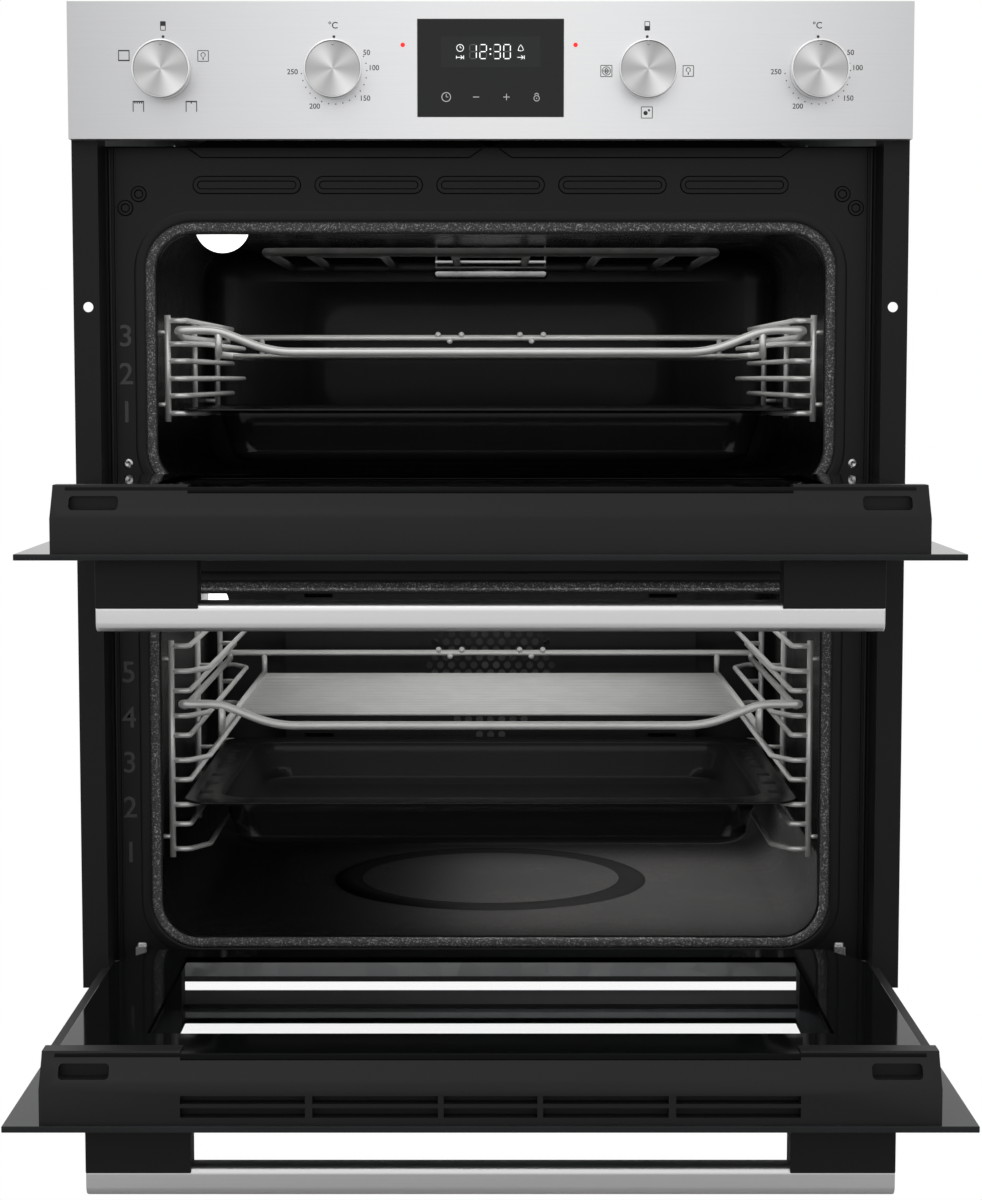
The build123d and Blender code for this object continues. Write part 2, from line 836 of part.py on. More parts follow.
with BuildPart() as lower_rack_left:
    side_rack(-1, lower_supports, lower_guards)
lower_rack_left.part.label = "lower_rack_left"
export_step(lower_rack_left.part, "parts/lower_rack_left.step")

with BuildPart() as lower_rack_right:
    side_rack(1, lower_supports, lower_guards)
lower_rack_right.part.label = "lower_rack_right"
export_step(lower_rack_right.part, "parts/lower_rack_right.step")

# ================= wire shelves and trays =================


def wire_shelf(support):
    """Chromed grid hung between two runners, with a dipped front rail and a raised rear guard."""
    runner = support + rack_wire_radius + shelf_frame_radius + clearance
    lifted = runner + shelf_end_lift
    dipped = lifted - shelf_dip
    grid = runner - shelf_grid_drop
    wire(
        [
            (-shelf_half_width, shelf_rear, runner), (-shelf_half_width, shelf_front + shelf_end_run, runner),
            (-shelf_half_width, shelf_front, lifted), (-shelf_dip_start, shelf_front, lifted),
            (-shelf_dip_end, shelf_front, dipped), (shelf_dip_end, shelf_front, dipped),
            (shelf_dip_start, shelf_front, lifted), (shelf_half_width, shelf_front, lifted),
            (shelf_half_width, shelf_front + shelf_end_run, runner), (shelf_half_width, shelf_rear, runner),
        ],
        shelf_frame_radius, shelf_bend,
    )
    rod_x(-shelf_half_width - overlap, shelf_half_width + overlap, shelf_rear, lifted, shelf_frame_radius)
    for side in (-1, 1):
        rod_z(
            side * shelf_half_width, shelf_rear - shelf_post_head, runner - overlap, lifted + overlap,
            shelf_post_radius,
        )
        rod_y(
            side * shelf_grid_half_width, grid, shelf_front - overlap, shelf_rear + overlap,
            shelf_frame_radius,
        )
        for y in (shelf_front, shelf_rear):
            rod_z(
                side * shelf_grid_half_width, y, grid - overlap, lifted + shelf_post_head,
                shelf_post_radius,
            )
        # welded stops on the rear guard
        for x, down in shelf_stops:
            with Locations((side * x, shelf_rear, lifted + shelf_frame_radius - down)):
                Sphere(shelf_stop_radius)
    for y in (shelf_grid_front, shelf_grid_rear):
        rod_x(-shelf_grid_half_width - overlap, shelf_grid_half_width + overlap, y, grid, shelf_post_radius)
    pitch = (shelf_grid_rear - shelf_grid_front) / (shelf_grid_count + 1)
    for number in range(1, shelf_grid_count + 1):
        rod_x(
            -shelf_grid_half_width, shelf_grid_half_width, shelf_grid_front + number * pitch,
            grid, shelf_grid_radius,
        )


with BuildPart() as upper_wire_shelf:
    wire_shelf(upper_supports[upper_shelf_level - 1])
upper_wire_shelf.part.label = "upper_wire_shelf"
export_step(upper_wire_shelf.part, "parts/upper_wire_shelf.step")

with BuildPart() as lower_wire_shelf:
    wire_shelf(lower_supports[lower_shelf_level - 1])
lower_wire_shelf.part.label = "lower_wire_shelf"
export_step(lower_wire_shelf.part, "parts/lower_wire_shelf.step")


def tray(support):
    """Enamelled tray: a drafted basin under a flat rim, with slots in the side rims."""
    rim = support + rack_wire_radius + clearance
    half = tray_half_width - tray_rim
    front = tray_front + tray_end_flange
    rear = tray_rear - tray_rim / 2
    middle = (front + rear) / 2
    length = rear - front
    outline_y = (tray_front + tray_rear) / 2
    with BuildSketch(Plane.XY.offset(rim)) as outline:
        with Locations((0, outline_y)):
            RectangleRounded(2 * tray_half_width, tray_rear - tray_front, tray_corner)
    extrude(outline.sketch, amount=tray_sheet)
    shapes = []
    for inset in (0.0, tray_sheet):
        with BuildSketch(Plane.XY.offset(rim + tray_sheet + inset)) as top:
            with Locations((0, middle)):
                RectangleRounded(2 * (half - inset), length - 2 * inset, tray_corner - inset)
        with BuildSketch(Plane.XY.offset(rim - tray_depth + inset)) as bottom:
            with Locations((0, middle)):
                RectangleRounded(
                    2 * (half - inset - tray_draft), length - 2 * (inset + tray_draft), tray_corner - inset
                )
        shapes.append((top.sketch, bottom.sketch))
    loft(sections=[shapes[0][1].face(), shapes[0][0].face()])
    loft(sections=[shapes[1][1].face(), shapes[1][0].face()], mode=Mode.SUBTRACT)
    for side in (-1, 1):
        for number in range(tray_slot_count):
            y = front + tray_slot_end + number * (length - 2 * tray_slot_end) / (tray_slot_count - 1)
            block(
                side * (half + tray_slot_inset), side * (half + tray_slot_inset + tray_slot_width),
                y - tray_slot_length / 2, y + tray_slot_length / 2,
                rim - overlap, rim + tray_sheet + overlap, mode=Mode.SUBTRACT,
            )


with BuildPart() as upper_tray:
    tray(upper_supports[upper_tray_level - 1])
upper_tray.part.label = "upper_tray"
export_step(upper_tray.part, "parts/upper_tray.step")

with BuildPart() as lower_tray:
    tray(lower_supports[lower_tray_level - 1])
lower_tray.part.label = "lower_tray"
export_step(lower_tray.part, "parts/lower_tray.step")

# ================= control panel =================

knob_centres = {
    "upper_selector_knob": -knob_outer_x,
    "upper_thermostat_knob": -knob_inner_x,
    "lower_selector_knob": knob_inner_x,
    "lower_thermostat_knob": knob_outer_x,
}
fascia_rear = -flange_proud
carrier_front = -fascia_proud + sheet
carrier_rear = carrier_front + carrier_thickness

with BuildPart() as fascia_panel:
    block(-half_width, half_width, -fascia_proud, fascia_rear, fascia_bottom, body_height)
    block(
        -half_width + sheet, half_width - sheet, carrier_front, fascia_rear + overlap,
        fascia_bottom + sheet, body_height - sheet, mode=Mode.SUBTRACT,
    )
    block(
        -display_half_width, display_half_width, -fascia_proud - overlap, carrier_front + overlap,
        display_bottom, display_top, mode=Mode.SUBTRACT,
    )
    for x in knob_centres.values():
        rod_y(
            x, knob_z, -fascia_proud - overlap, carrier_front + overlap, spindle_hole_radius,
            mode=Mode.SUBTRACT,
        )
    for x in (indicator_left_x, indicator_right_x):
        rod_y(
            x, indicator_z, -fascia_proud - overlap, carrier_front + overlap, indicator_radius,
            mode=Mode.SUBTRACT,
        )
fascia_panel.part.label = "fascia_panel"
export_step(fascia_panel.part, "parts/fascia_panel.step")

with BuildPart() as fascia_carrier:
    block(
        -carcass_half_width, carcass_half_width, carrier_front, carrier_rear,
        fascia_bottom + carrier_inset, body_height - carrier_inset,
    )
    for side in (-1, 1):
        block(
            side * (carcass_half_width - carrier_thickness), side * carcass_half_width,
            carrier_rear, fascia_rear,
            fascia_bottom + carrier_inset, body_height - carrier_inset,
        )
    for x in knob_centres.values():
        rod_y(
            x, knob_z, carrier_front - overlap, carrier_rear + overlap, spindle_hole_radius,
            mode=Mode.SUBTRACT,
        )
fascia_carrier.part.label = "fascia_carrier"
export_step(fascia_carrier.part, "parts/fascia_carrier.step")

with BuildPart() as display_window:
    block(
        -display_half_width, display_half_width, -fascia_proud - display_proud, carrier_front,
        display_bottom, display_top,
    )
display_window.part.label = "display_window"
export_step(display_window.part, "parts/display_window.step")

with BuildPart() as control_module:
    block(
        -module_half, module_half, carrier_rear, carrier_rear + module_depth,
        display_bottom - module_margin, display_top + module_margin,
    )
control_module.part.label = "control_module"
export_step(control_module.part, "parts/control_module.step")

with BuildPart() as indicator_lenses:
    for x in (indicator_left_x, indicator_right_x):
        rod_y(x, indicator_z, -fascia_proud - display_proud / 2, carrier_front, indicator_radius)
indicator_lenses.part.label = "indicator_lenses"
export_step(indicator_lenses.part, "parts/indicator_lenses.step")

knob_base = -fascia_proud - knob_gap
spindle_end = carrier_rear + spindle_engaged

for knob_name, knob_x in knob_centres.items():
    with BuildPart() as knob:
        knob_plane = Plane(origin=(knob_x, knob_base, knob_z), x_dir=(1, 0, 0), z_dir=(0, -1, 0))
        with BuildSketch(knob_plane):
            Circle(knob_radius)
        extrude(amount=knob_depth)
        chamfer(knob.faces().sort_by(Axis.Y)[0].edges(), knob_chamfer)
        rod_y(knob_x, knob_z, knob_base, spindle_end, spindle_radius)
    knob.part.label = knob_name
    export_step(knob.part, f"parts/{knob_name}.step")


def rotary_body(x, half):
    """The body behind a knob, bored for its spindle."""
    block(x - half, x + half, carrier_rear, carrier_rear + switch_depth, knob_z - half, knob_z + half)
    rod_y(
        x, knob_z, carrier_rear - overlap, spindle_end + clearance, spindle_radius + running_fit,
        mode=Mode.SUBTRACT,
    )


with BuildPart() as selector_switches:
    for x in (-knob_outer_x, knob_inner_x):
        rotary_body(x, switch_width / 2)
selector_switches.part.label = "selector_switches"
export_step(selector_switches.part, "parts/selector_switches.step")

with BuildPart() as thermostats:
    for x in (-knob_inner_x, knob_outer_x):
        rotary_body(x, thermostat_width / 2)
thermostats.part.label = "thermostats"
export_step(thermostats.part, "parts/thermostats.step")

# ================= cooling air =================

duct_z = front_panel_top
duct_half = carcass_half_width - sheet
lip_rise = duct_lip / 2
lip_outer = 214.0
lip_slope = 10.0
lip_gap = 2.0

with BuildPart() as cooling_duct:
    block(-duct_half, duct_half, panel_front, duct_depth, duct_z, duct_z + sheet)
    # the outlet's upturned lip, in two shallow trapezoids
    lip_plane = Plane(origin=(0, panel_front, duct_z), x_dir=(1, 0, 0), z_dir=(0, 1, 0))
    with BuildSketch(lip_plane) as lip:
        with BuildLine():
            Polyline(
                (-duct_half, 0), (-duct_half, -sheet), (-lip_outer, -sheet),
                (-lip_outer + lip_slope, -lip_rise), (-lip_gap - lip_slope, -lip_rise),
                (-lip_gap, -sheet), (lip_gap, -sheet), (lip_gap + lip_slope, -lip_rise),
                (lip_outer - lip_slope, -lip_rise), (lip_outer, -sheet),
                (duct_half, -sheet), (duct_half, 0), close=True,
            )
        make_face()
    extrude(lip.sketch, amount=sheet)
cooling_duct.part.label = "cooling_duct"
export_step(cooling_duct.part, "parts/cooling_duct.step")

blower_wall = 2.0
blower_end_gap = 6.0
blower_end = blower_half_length + blower_end_gap
blower_reach = 45.0
blower_top = blower_z + blower_reach
blower_motor_length = 34.0
blower_motor_half = 22.0
blower_bore = 15.0
blower_blade_centre = 23.0
blower_blade_width = 8.0

with BuildPart() as blower_housing:
    for side in (-1, 1):
        block(
            side * blower_end, side * (blower_end + blower_wall),
            blower_y - blower_reach, blower_y + blower_reach, duct_z + sheet, blower_top,
        )
        rod_x(
            side * (blower_end - overlap), side * (blower_end + blower_wall + overlap), blower_y, blower_z,
            spindle_radius + running_fit, mode=Mode.SUBTRACT,
        )
    block(
        -blower_end, blower_end, blower_y + blower_reach - blower_wall, blower_y + blower_reach,
        duct_z + sheet, blower_top,
    )
    block(
        -blower_end, blower_end, blower_y - blower_reach, blower_y - blower_reach + blower_wall,
        blower_z, blower_top,
    )
    # the motor on the right-hand end plate
    motor_x = blower_end + blower_wall
    block(
        motor_x, motor_x + blower_motor_length, blower_y - blower_motor_half, blower_y + blower_motor_half,
        blower_z - blower_motor_half, blower_z + blower_motor_half,
    )
    rod_x(
        motor_x - overlap, motor_x + blower_bore, blower_y, blower_z, spindle_radius + running_fit,
        mode=Mode.SUBTRACT,
    )
blower_housing.part.label = "blower_housing"
export_step(blower_housing.part, "parts/blower_housing.step")

with BuildPart() as blower_rotor:
    rod_x(-blower_end - blower_wall, motor_x + blower_bore - overlap, blower_y, blower_z, spindle_radius)
    for x in (-blower_half_length, -blower_wall / 2, blower_half_length - blower_wall):
        rod_x(x, x + blower_wall, blower_y, blower_z, blower_radius)
    for number in range(blower_blades):
        angle = 2 * math.pi * number / blower_blades
        centre = (
            0,
            blower_y + blower_blade_centre * math.cos(angle),
            blower_z + blower_blade_centre * math.sin(angle),
        )
        with Locations(Location(centre, (math.degrees(angle), 0, 0))):
            Box(2 * blower_half_length, blower_blade_width, sheet)
blower_rotor.part.label = "blower_rotor"
export_step(blower_rotor.part, "parts/blower_rotor.step")

terminal_left = 180.0
terminal_width = 60.0
terminal_depth = 30.0
terminal_drop = 27.0
terminal_height = 40.0
terminal_top = body_height - terminal_drop
terminal_bottom = terminal_top - terminal_height
terminal_count = 3
terminal_screw_radius = 4.0
terminal_screw_sink = 2.0

with BuildPart() as terminal_block:
    block(
        terminal_left, terminal_left + terminal_width, rear_inner - terminal_depth, rear_inner,
        terminal_bottom, terminal_top,
    )
    for number in range(1, terminal_count + 1):
        rod_z(
            terminal_left + number * terminal_width / (terminal_count + 1),
            rear_inner - terminal_depth / 2, terminal_top - terminal_screw_sink, terminal_top + overlap,
            terminal_screw_radius, mode=Mode.SUBTRACT,
        )
terminal_block.part.label = "terminal_block"
export_step(terminal_block.part, "parts/terminal_block.step")

# ================= hinges in the carcass =================

receiver_half = 7.0
receiver_depth = 34.0
receiver_reach = 14.0
lug_half = 4.0
lug_depth = 6.0
lug_rise = 16.5


def hinge_mounts(pivot_z, below):
    """A receiver behind the panel on each side, with an arm that reaches out to the pivot."""
    for side in (-1, 1):
        x = side * hinge_x
        block(
            x - receiver_half, x + receiver_half, panel_rear, panel_rear + receiver_depth,
            pivot_z - below, pivot_z + receiver_reach,
        )
        half = hinge_arm_thickness / 2
        block(
            x - half, x + half, pivot_y, panel_rear,
            pivot_z - hinge_eye_radius, pivot_z + hinge_eye_radius,
        )
        # the upturned lug in front of the panel
        block(
            x - lug_half, x + lug_half, panel_front - lug_depth, panel_front,
            pivot_z, pivot_z + lug_rise,
        )
        rod_x(x - half, x + half, pivot_y, pivot_z, hinge_eye_radius)
        rod_x(
            x - half - overlap, x + half + overlap, pivot_y, pivot_z, pin_radius + running_fit,
            mode=Mode.SUBTRACT,
        )


with BuildPart() as upper_hinge_mounts:
    hinge_mounts(upper_pivot_z, receiver_reach)
upper_hinge_mounts.part.label = "upper_hinge_mounts"
export_step(upper_hinge_mounts.part, "parts/upper_hinge_mounts.step")

with BuildPart() as lower_hinge_mounts:
    hinge_mounts(lower_pivot_z, lower_pivot_z - sheet)
lower_hinge_mounts.part.label = "lower_hinge_mounts"
export_step(lower_hinge_mounts.part, "parts/lower_hinge_mounts.step")

# ================= doors =================
# A door is drawn in its own frame: across, up from its lower edge, and out from the front of
# its glass. The frame is turned about the hinge pivot by the door's opening.

opening = math.radians(door_opening)
outward = Vector(0, -math.cos(opening), -math.sin(opening))
upward = Vector(0, -math.sin(opening), math.cos(opening))


def door_plane(pivot_z):
    """The plane of a door's front glass: X across, Y up the door, Z out of the front."""
    origin = Vector(0, pivot_y, pivot_z) + outward * pivot_depth - upward * pivot_rise
    return Plane(origin=origin, x_dir=(1, 0, 0), z_dir=outward)


def door_section(pivot_z):
    """The plane of a door's side profile: X up the door, Y out of the front."""
    return Plane(origin=door_plane(pivot_z).origin, x_dir=upward, z_dir=(1, 0, 0))


def sheet_of_glass(half, bottom, top, front, mode=Mode.ADD):
    """A pane across the door; front is the depth of its outer face."""
    block(-half, half, bottom, top, -front - glass, -front, mode=mode)


inner_glass_inset = 8.0
inner_glass_half = door_box_half_width - inner_glass_inset
inner_glass_bottom = 37.0
corner_cut_width = 24.0
corner_cut_height = 41.0
glass_edge = 1.0  # the inner glass sits this far below the cap's edge
frame_border = 40.0
frame_window_bottom = 45.0
frame_window_drop = 12.0
frame_block_bottom = 32.0
frame_block_top = 52.0
frame_block_gap = 13.0
cap_depth = 30.0
cap_inset = 3.0
cap_slant = 10.5
cap_flat = 26.0
cap_cover = 1.2
cap_cover_start = 190.0
cap_cover_lean = 3.0
pocket_inset = 26.5
pocket_x = door_box_half_width - pocket_inset
pocket_width = 31.0
pocket_height = 8.6
pocket_corner = 2.6
pocket_behind = 35.4  # middle of the pocket, behind the front of the glass
pocket_depth = 14.0
vent_depth = 9.0
vent_rows = [(8.5, 14.5), (17.0, 22.0)]
vent_columns = [(-189.0, -113.0), (-108.5, -32.0), (-28.5, 28.5), (32.0, 108.5), (113.0, 189.0)]
channel_foot = 9.0
channel_sheet = 2.0
channel_depth = 26.0


def inner_pane(plane, top):
    """The inner glass, with its two lower corners cut away."""
    rise = inner_glass_bottom + corner_cut_height
    run = inner_glass_half - corner_cut_width
    with BuildSketch(plane.offset(-inner_glass_face)) as outline:
        with BuildLine():
            Polyline(
                (-inner_glass_half, top), (-inner_glass_half, rise), (-run, inner_glass_bottom),
                (run, inner_glass_bottom), (inner_glass_half, rise), (inner_glass_half, top),
                close=True,
            )
        make_face()
    extrude(outline.sketch, amount=-glass)


def door_frame(height):
    """The black steel box behind the glass: a web ring, two side rails and a bottom rail."""
    top = height - cap_depth
    block(-door_box_half_width, door_box_half_width, cap_inset, top, -glass - door_web, -glass)
    block(
        -door_box_half_width + frame_border, door_box_half_width - frame_border,
        frame_window_bottom, top - frame_window_drop,
        -glass - door_web - overlap, -glass + overlap, mode=Mode.SUBTRACT,
    )
    for side in (-1, 1):
        block(
            side * (door_box_half_width - door_rail_width), side * door_box_half_width,
            inner_glass_bottom + corner_cut_height, top, -inner_glass_face, -glass,
        )
    # the bottom rail is open in the middle, so that the window looks through under the oven
    for side in (-1, 1):
        block(
            side * door_window_half_width, side * (hinge_x - frame_block_gap),
            frame_block_bottom, frame_block_top, -inner_glass_face, -glass,
        )


def door_cap(pivot_z, height, vents):
    """The moulded end piece along the door's free edge, slanted toward the inner glass."""
    low = height - cap_depth
    high = height - cap_inset
    section = door_section(pivot_z)
    with BuildSketch(section) as profile:
        with BuildLine():
            Polyline(
                (low, -glass), (high, -glass), (high, -cap_flat),
                (high - cap_slant, -inner_glass_face), (low, -inner_glass_face), close=True,
            )
        make_face()
    extrude(profile.sketch, amount=door_box_half_width, both=True)
    slant_end = high - cap_slant
    for side in (-1, 1):
        start = section.offset(side * cap_cover_start)
        with BuildSketch(start) as cover:
            with BuildLine():
                Polyline(
                    (slant_end, -inner_glass_face),
                    (slant_end - cap_cover_lean, -door_thickness - cap_cover),
                    (low, -door_thickness - cap_cover), (low, -inner_glass_face), close=True,
                )
            make_face()
        extrude(cover.sketch, amount=side * (door_box_half_width - cap_cover_start))
        # a rounded pocket in the slanted face, near each end
        mouth = section.origin + upward * (high + overlap) - outward * pocket_behind
        mouth_plane = Plane(origin=mouth + Vector(side * pocket_x, 0, 0), x_dir=(1, 0, 0), z_dir=-upward)
        with BuildSketch(mouth_plane) as pocket:
            RectangleRounded(pocket_width, pocket_height, pocket_corner)
        extrude(pocket.sketch, amount=pocket_depth + overlap, mode=Mode.SUBTRACT)
    sheet_of_glass(
        inner_glass_half, low - overlap, slant_end - glass_edge, inner_glass_face, mode=Mode.SUBTRACT
    )
    if vents:
        for start, stop in vent_columns:
            for row_top, row_bottom in vent_rows:
                block(
                    start, stop, high - vent_depth, high + overlap, -row_bottom, -row_top,
                    mode=Mode.SUBTRACT,
                )


def handle_bar(pivot_z, height):
    """A bar with softly rounded edges, along the door's free edge."""
    with BuildSketch(door_section(pivot_z)) as profile:
        with Locations((height - handle_drop, handle_standoff + handle_depth / 2)):
            RectangleRounded(handle_height, handle_depth, handle_corner)
    extrude(profile.sketch, amount=handle_length / 2, both=True)


def brackets(height):
    """A block at each end of the handle, pocketed for the bar."""
    middle = height - handle_drop
    for side in (-1, 1):
        block(
            side * (handle_length / 2 - bracket_length), side * handle_length / 2,
            middle - bracket_height / 2, middle + bracket_height / 2,
            0, handle_standoff + bracket_overlap,
        )
    block(
        -handle_length / 2 - overlap, handle_length / 2 + overlap,
        middle - handle_height / 2, middle + handle_height / 2,
        handle_standoff, handle_standoff + handle_depth, mode=Mode.SUBTRACT,
    )


def hinge_channels(height):
    """A U channel on each side of the door, with the pin that the carcass arm turns on."""
    web = glass + door_web
    for side in (-1, 1):
        x = side * hinge_x
        half = hinge_channel_width / 2
        top = pivot_rise + hinge_channel_length
        block(x - half, x + half, pivot_rise - channel_foot, top, -web - channel_sheet, -web)
        for cheek in (-1, 1):
            block(
                x + cheek * (half - channel_sheet), x + cheek * half, pivot_rise - channel_foot, top,
                -web - channel_depth, -web,
            )
        rod_x(x - half, x + half, pivot_rise, -pivot_depth, pin_radius)


doors = [
    ("upper", upper_pivot_z, upper_door_height, False),
    ("lower", lower_pivot_z, lower_door_height, True),
]

for level, pivot_z, height, vents in doors:
    plane = door_plane(pivot_z)

    with BuildPart(plane) as door_glass:
        sheet_of_glass(half_width, 0, height, 0)
    door_glass.part.label = f"{level}_door_glass"
    export_step(door_glass.part, f"parts/{level}_door_glass.step")

    with BuildPart(plane) as frame:
        door_frame(height)
    frame.part.label = f"{level}_door_frame"
    export_step(frame.part, f"parts/{level}_door_frame.step")

    with BuildPart(plane) as cap:
        door_cap(pivot_z, height, vents)
    cap.part.label = f"{level}_door_cap"
    export_step(cap.part, f"parts/{level}_door_cap.step")

    with BuildPart(plane) as inner_glass:
        inner_pane(plane, height - cap_inset - cap_slant - glass_edge)
    inner_glass.part.label = f"{level}_door_inner_glass"
    export_step(inner_glass.part, f"parts/{level}_door_inner_glass.step")

    with BuildPart(plane) as bar:
        handle_bar(pivot_z, height)
    bar.part.label = f"{level}_handle_bar"
    export_step(bar.part, f"parts/{level}_handle_bar.step")

    with BuildPart(plane) as bracket_pair:
        brackets(height)
    bracket_pair.part.label = f"{level}_handle_brackets"
    export_step(bracket_pair.part, f"parts/{level}_handle_brackets.step")

    with BuildPart(plane) as channels:
        hinge_channels(height)
    channels.part.label = f"{level}_hinge_channels"
    export_step(channels.part, f"parts/{level}_hinge_channels.step")
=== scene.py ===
import bmesh
import bpy
import math
import numpy as np
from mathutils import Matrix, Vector


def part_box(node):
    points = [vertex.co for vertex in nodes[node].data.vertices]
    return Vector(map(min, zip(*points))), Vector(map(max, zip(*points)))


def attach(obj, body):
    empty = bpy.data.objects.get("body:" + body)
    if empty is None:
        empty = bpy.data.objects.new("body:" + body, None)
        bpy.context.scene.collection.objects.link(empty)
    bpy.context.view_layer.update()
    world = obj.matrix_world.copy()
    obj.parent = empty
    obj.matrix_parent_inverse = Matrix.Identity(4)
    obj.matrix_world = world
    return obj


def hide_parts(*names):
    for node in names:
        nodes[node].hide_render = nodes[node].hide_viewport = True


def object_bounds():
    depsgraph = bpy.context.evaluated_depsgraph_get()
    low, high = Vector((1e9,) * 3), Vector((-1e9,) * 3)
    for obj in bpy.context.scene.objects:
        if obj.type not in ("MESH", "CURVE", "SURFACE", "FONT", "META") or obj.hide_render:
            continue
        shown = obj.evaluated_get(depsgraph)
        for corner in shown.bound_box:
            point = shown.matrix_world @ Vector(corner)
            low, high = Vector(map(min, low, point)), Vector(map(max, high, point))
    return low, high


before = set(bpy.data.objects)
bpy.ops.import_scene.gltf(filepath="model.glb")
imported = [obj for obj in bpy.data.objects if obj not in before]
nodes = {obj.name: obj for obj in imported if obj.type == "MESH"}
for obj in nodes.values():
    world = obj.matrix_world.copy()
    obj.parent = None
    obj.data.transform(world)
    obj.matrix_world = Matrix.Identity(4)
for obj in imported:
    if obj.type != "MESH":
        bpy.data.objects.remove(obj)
cadLow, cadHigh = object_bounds()
mm = 0.001
print("frame loaded:", len(nodes), "nodes")


# small tools for meshes

# points of a grid, u down the rows and v across, joined into quads; closed ways wrap round
def gridFaces(rows, cols, wrapRows=False, wrapCols=False):
    i = np.arange(rows if wrapRows else rows - 1)[:, None]
    j = np.arange(cols if wrapCols else cols - 1)[None, :]
    a = i * cols + j
    b = i * cols + (j + 1) % cols
    c = (i + 1) % rows * cols + (j + 1) % cols
    d = (i + 1) % rows * cols + j
    return np.stack([a, b, c, d], axis=-1).reshape(-1, 4)


# several (points, faces) pairs become one pair
def joined(parts):
    starts = np.cumsum([0] + [len(p) for p, f in parts[:-1]])
    points = np.concatenate([p for p, f in parts])
    faces = np.concatenate([f + s for (p, f), s in zip(parts, starts)])
    return points, faces


def makePiece(name, parts, body, replaced=(), smooth=True, outward=True):
    points, faces = joined(parts)
    mesh = bpy.data.meshes.new(name)
    mesh.vertices.add(len(points))
    mesh.vertices.foreach_set("co", points.astype(np.float32).ravel())
    mesh.loops.add(faces.size)
    mesh.loops.foreach_set("vertex_index", faces.astype(np.int32).ravel())
    mesh.polygons.add(len(faces))
    mesh.polygons.foreach_set("loop_start", np.arange(0, faces.size, faces.shape[1], dtype=np.int32))
    mesh.update(calc_edges=True)
    mesh.validate()
    cleanMesh(mesh, outward)
    mesh.polygons.foreach_set("use_smooth", np.full(len(mesh.polygons), smooth))
    piece = bpy.data.objects.new(name, mesh)
    bpy.context.scene.collection.objects.link(piece)
    return placed(piece, body, replaced)


def cleanMesh(mesh, outward=True):
    bm = bmesh.new()
    bm.from_mesh(mesh)
    bmesh.ops.remove_doubles(bm, verts=bm.verts, dist=2e-6)
    bmesh.ops.dissolve_degenerate(bm, edges=bm.edges, dist=1e-6)
    if outward:
        bmesh.ops.recalc_face_normals(bm, faces=bm.faces)
    bm.to_mesh(mesh)
    bm.free()


def placed(piece, body, replaced=()):
    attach(piece, body)
    if replaced:
        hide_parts(*replaced)
    return piece


# a copy of a machined node with its edges rounded over
def softened(node, width, body, segments=2, angle=35):
    mesh = nodes[node].data.copy()
    mesh.materials.clear()
    bm = bmesh.new()
    bm.from_mesh(mesh)
    bmesh.ops.remove_doubles(bm, verts=bm.verts, dist=1e-6)
    bmesh.ops.dissolve_limit(bm, angle_limit=math.radians(1), verts=bm.verts, edges=bm.edges)
    bm.to_mesh(mesh)
    bm.free()
    piece = bpy.data.objects.new(node + "_soft", mesh)
    bpy.context.scene.collection.objects.link(piece)
    bevel = piece.modifiers.new("edges", "BEVEL")
    bevel.width = width * mm
    bevel.segments = segments
    bevel.limit_method = "ANGLE"
    bevel.angle_limit = math.radians(angle)
    bevel.use_clamp_overlap = True
    mesh.polygons.foreach_set("use_smooth", np.ones(len(mesh.polygons), dtype=bool))
    evened = piece.modifiers.new("evened", "WEIGHTED_NORMAL")
    evened.weight = 100
    evened.keep_sharp = False
    return placed(piece, body, [node])


# a tube along a line: each ring is the line's point plus radius times the cosine and sine of an
# angle round two directions square to the line
def tube(line, radius, sides=10, closed=False, caps=True):
    line = np.asarray(line, dtype=float)
    if closed:
        along = np.roll(line, -1, axis=0) - np.roll(line, 1, axis=0)
    else:
        along = np.gradient(line, axis=0)
    along /= np.linalg.norm(along, axis=1)[:, None]
    side = np.cross(along, np.array([0.41, 0.57, 0.71]))
    side /= np.linalg.norm(side, axis=1)[:, None]
    up = np.cross(along, side)
    angle = np.linspace(0, 2 * np.pi, sides, endpoint=False)
    radii = np.broadcast_to(radius, len(line))
    ring = np.cos(angle)[None, :, None] * side[:, None] + np.sin(angle)[None, :, None] * up[:, None]
    points = line[:, None] + radii[:, None, None] * ring
    if caps and not closed:
        first = np.repeat(line[:1, None], sides, axis=1)
        last = np.repeat(line[-1:, None], sides, axis=1)
        points = np.concatenate([first, points, last])
    faces = gridFaces(len(points), sides, wrapRows=closed, wrapCols=True)
    return points.reshape(-1, 3), faces


# a bent line: each corner is replaced by a quadratic curve that starts and ends one bend away
def bentLine(corners, bend, steps=6):
    corners = np.asarray(corners, dtype=float)
    before, middle, after = corners[:-2], corners[1:-1], corners[2:]
    toBefore, toAfter = before - middle, after - middle
    lengthBefore = np.linalg.norm(toBefore, axis=1)[:, None]
    lengthAfter = np.linalg.norm(toAfter, axis=1)[:, None]
    reach = np.minimum(bend, 0.48 * np.minimum(lengthBefore, lengthAfter))
    start = middle + toBefore / lengthBefore * reach
    end = middle + toAfter / lengthAfter * reach
    t = np.linspace(0, 1, steps)[None, :, None]
    curve = (1 - t) ** 2 * start[:, None] + 2 * t * (1 - t) * middle[:, None] + t**2 * end[:, None]
    return np.concatenate([corners[:1], curve.reshape(-1, 3), corners[-1:]])


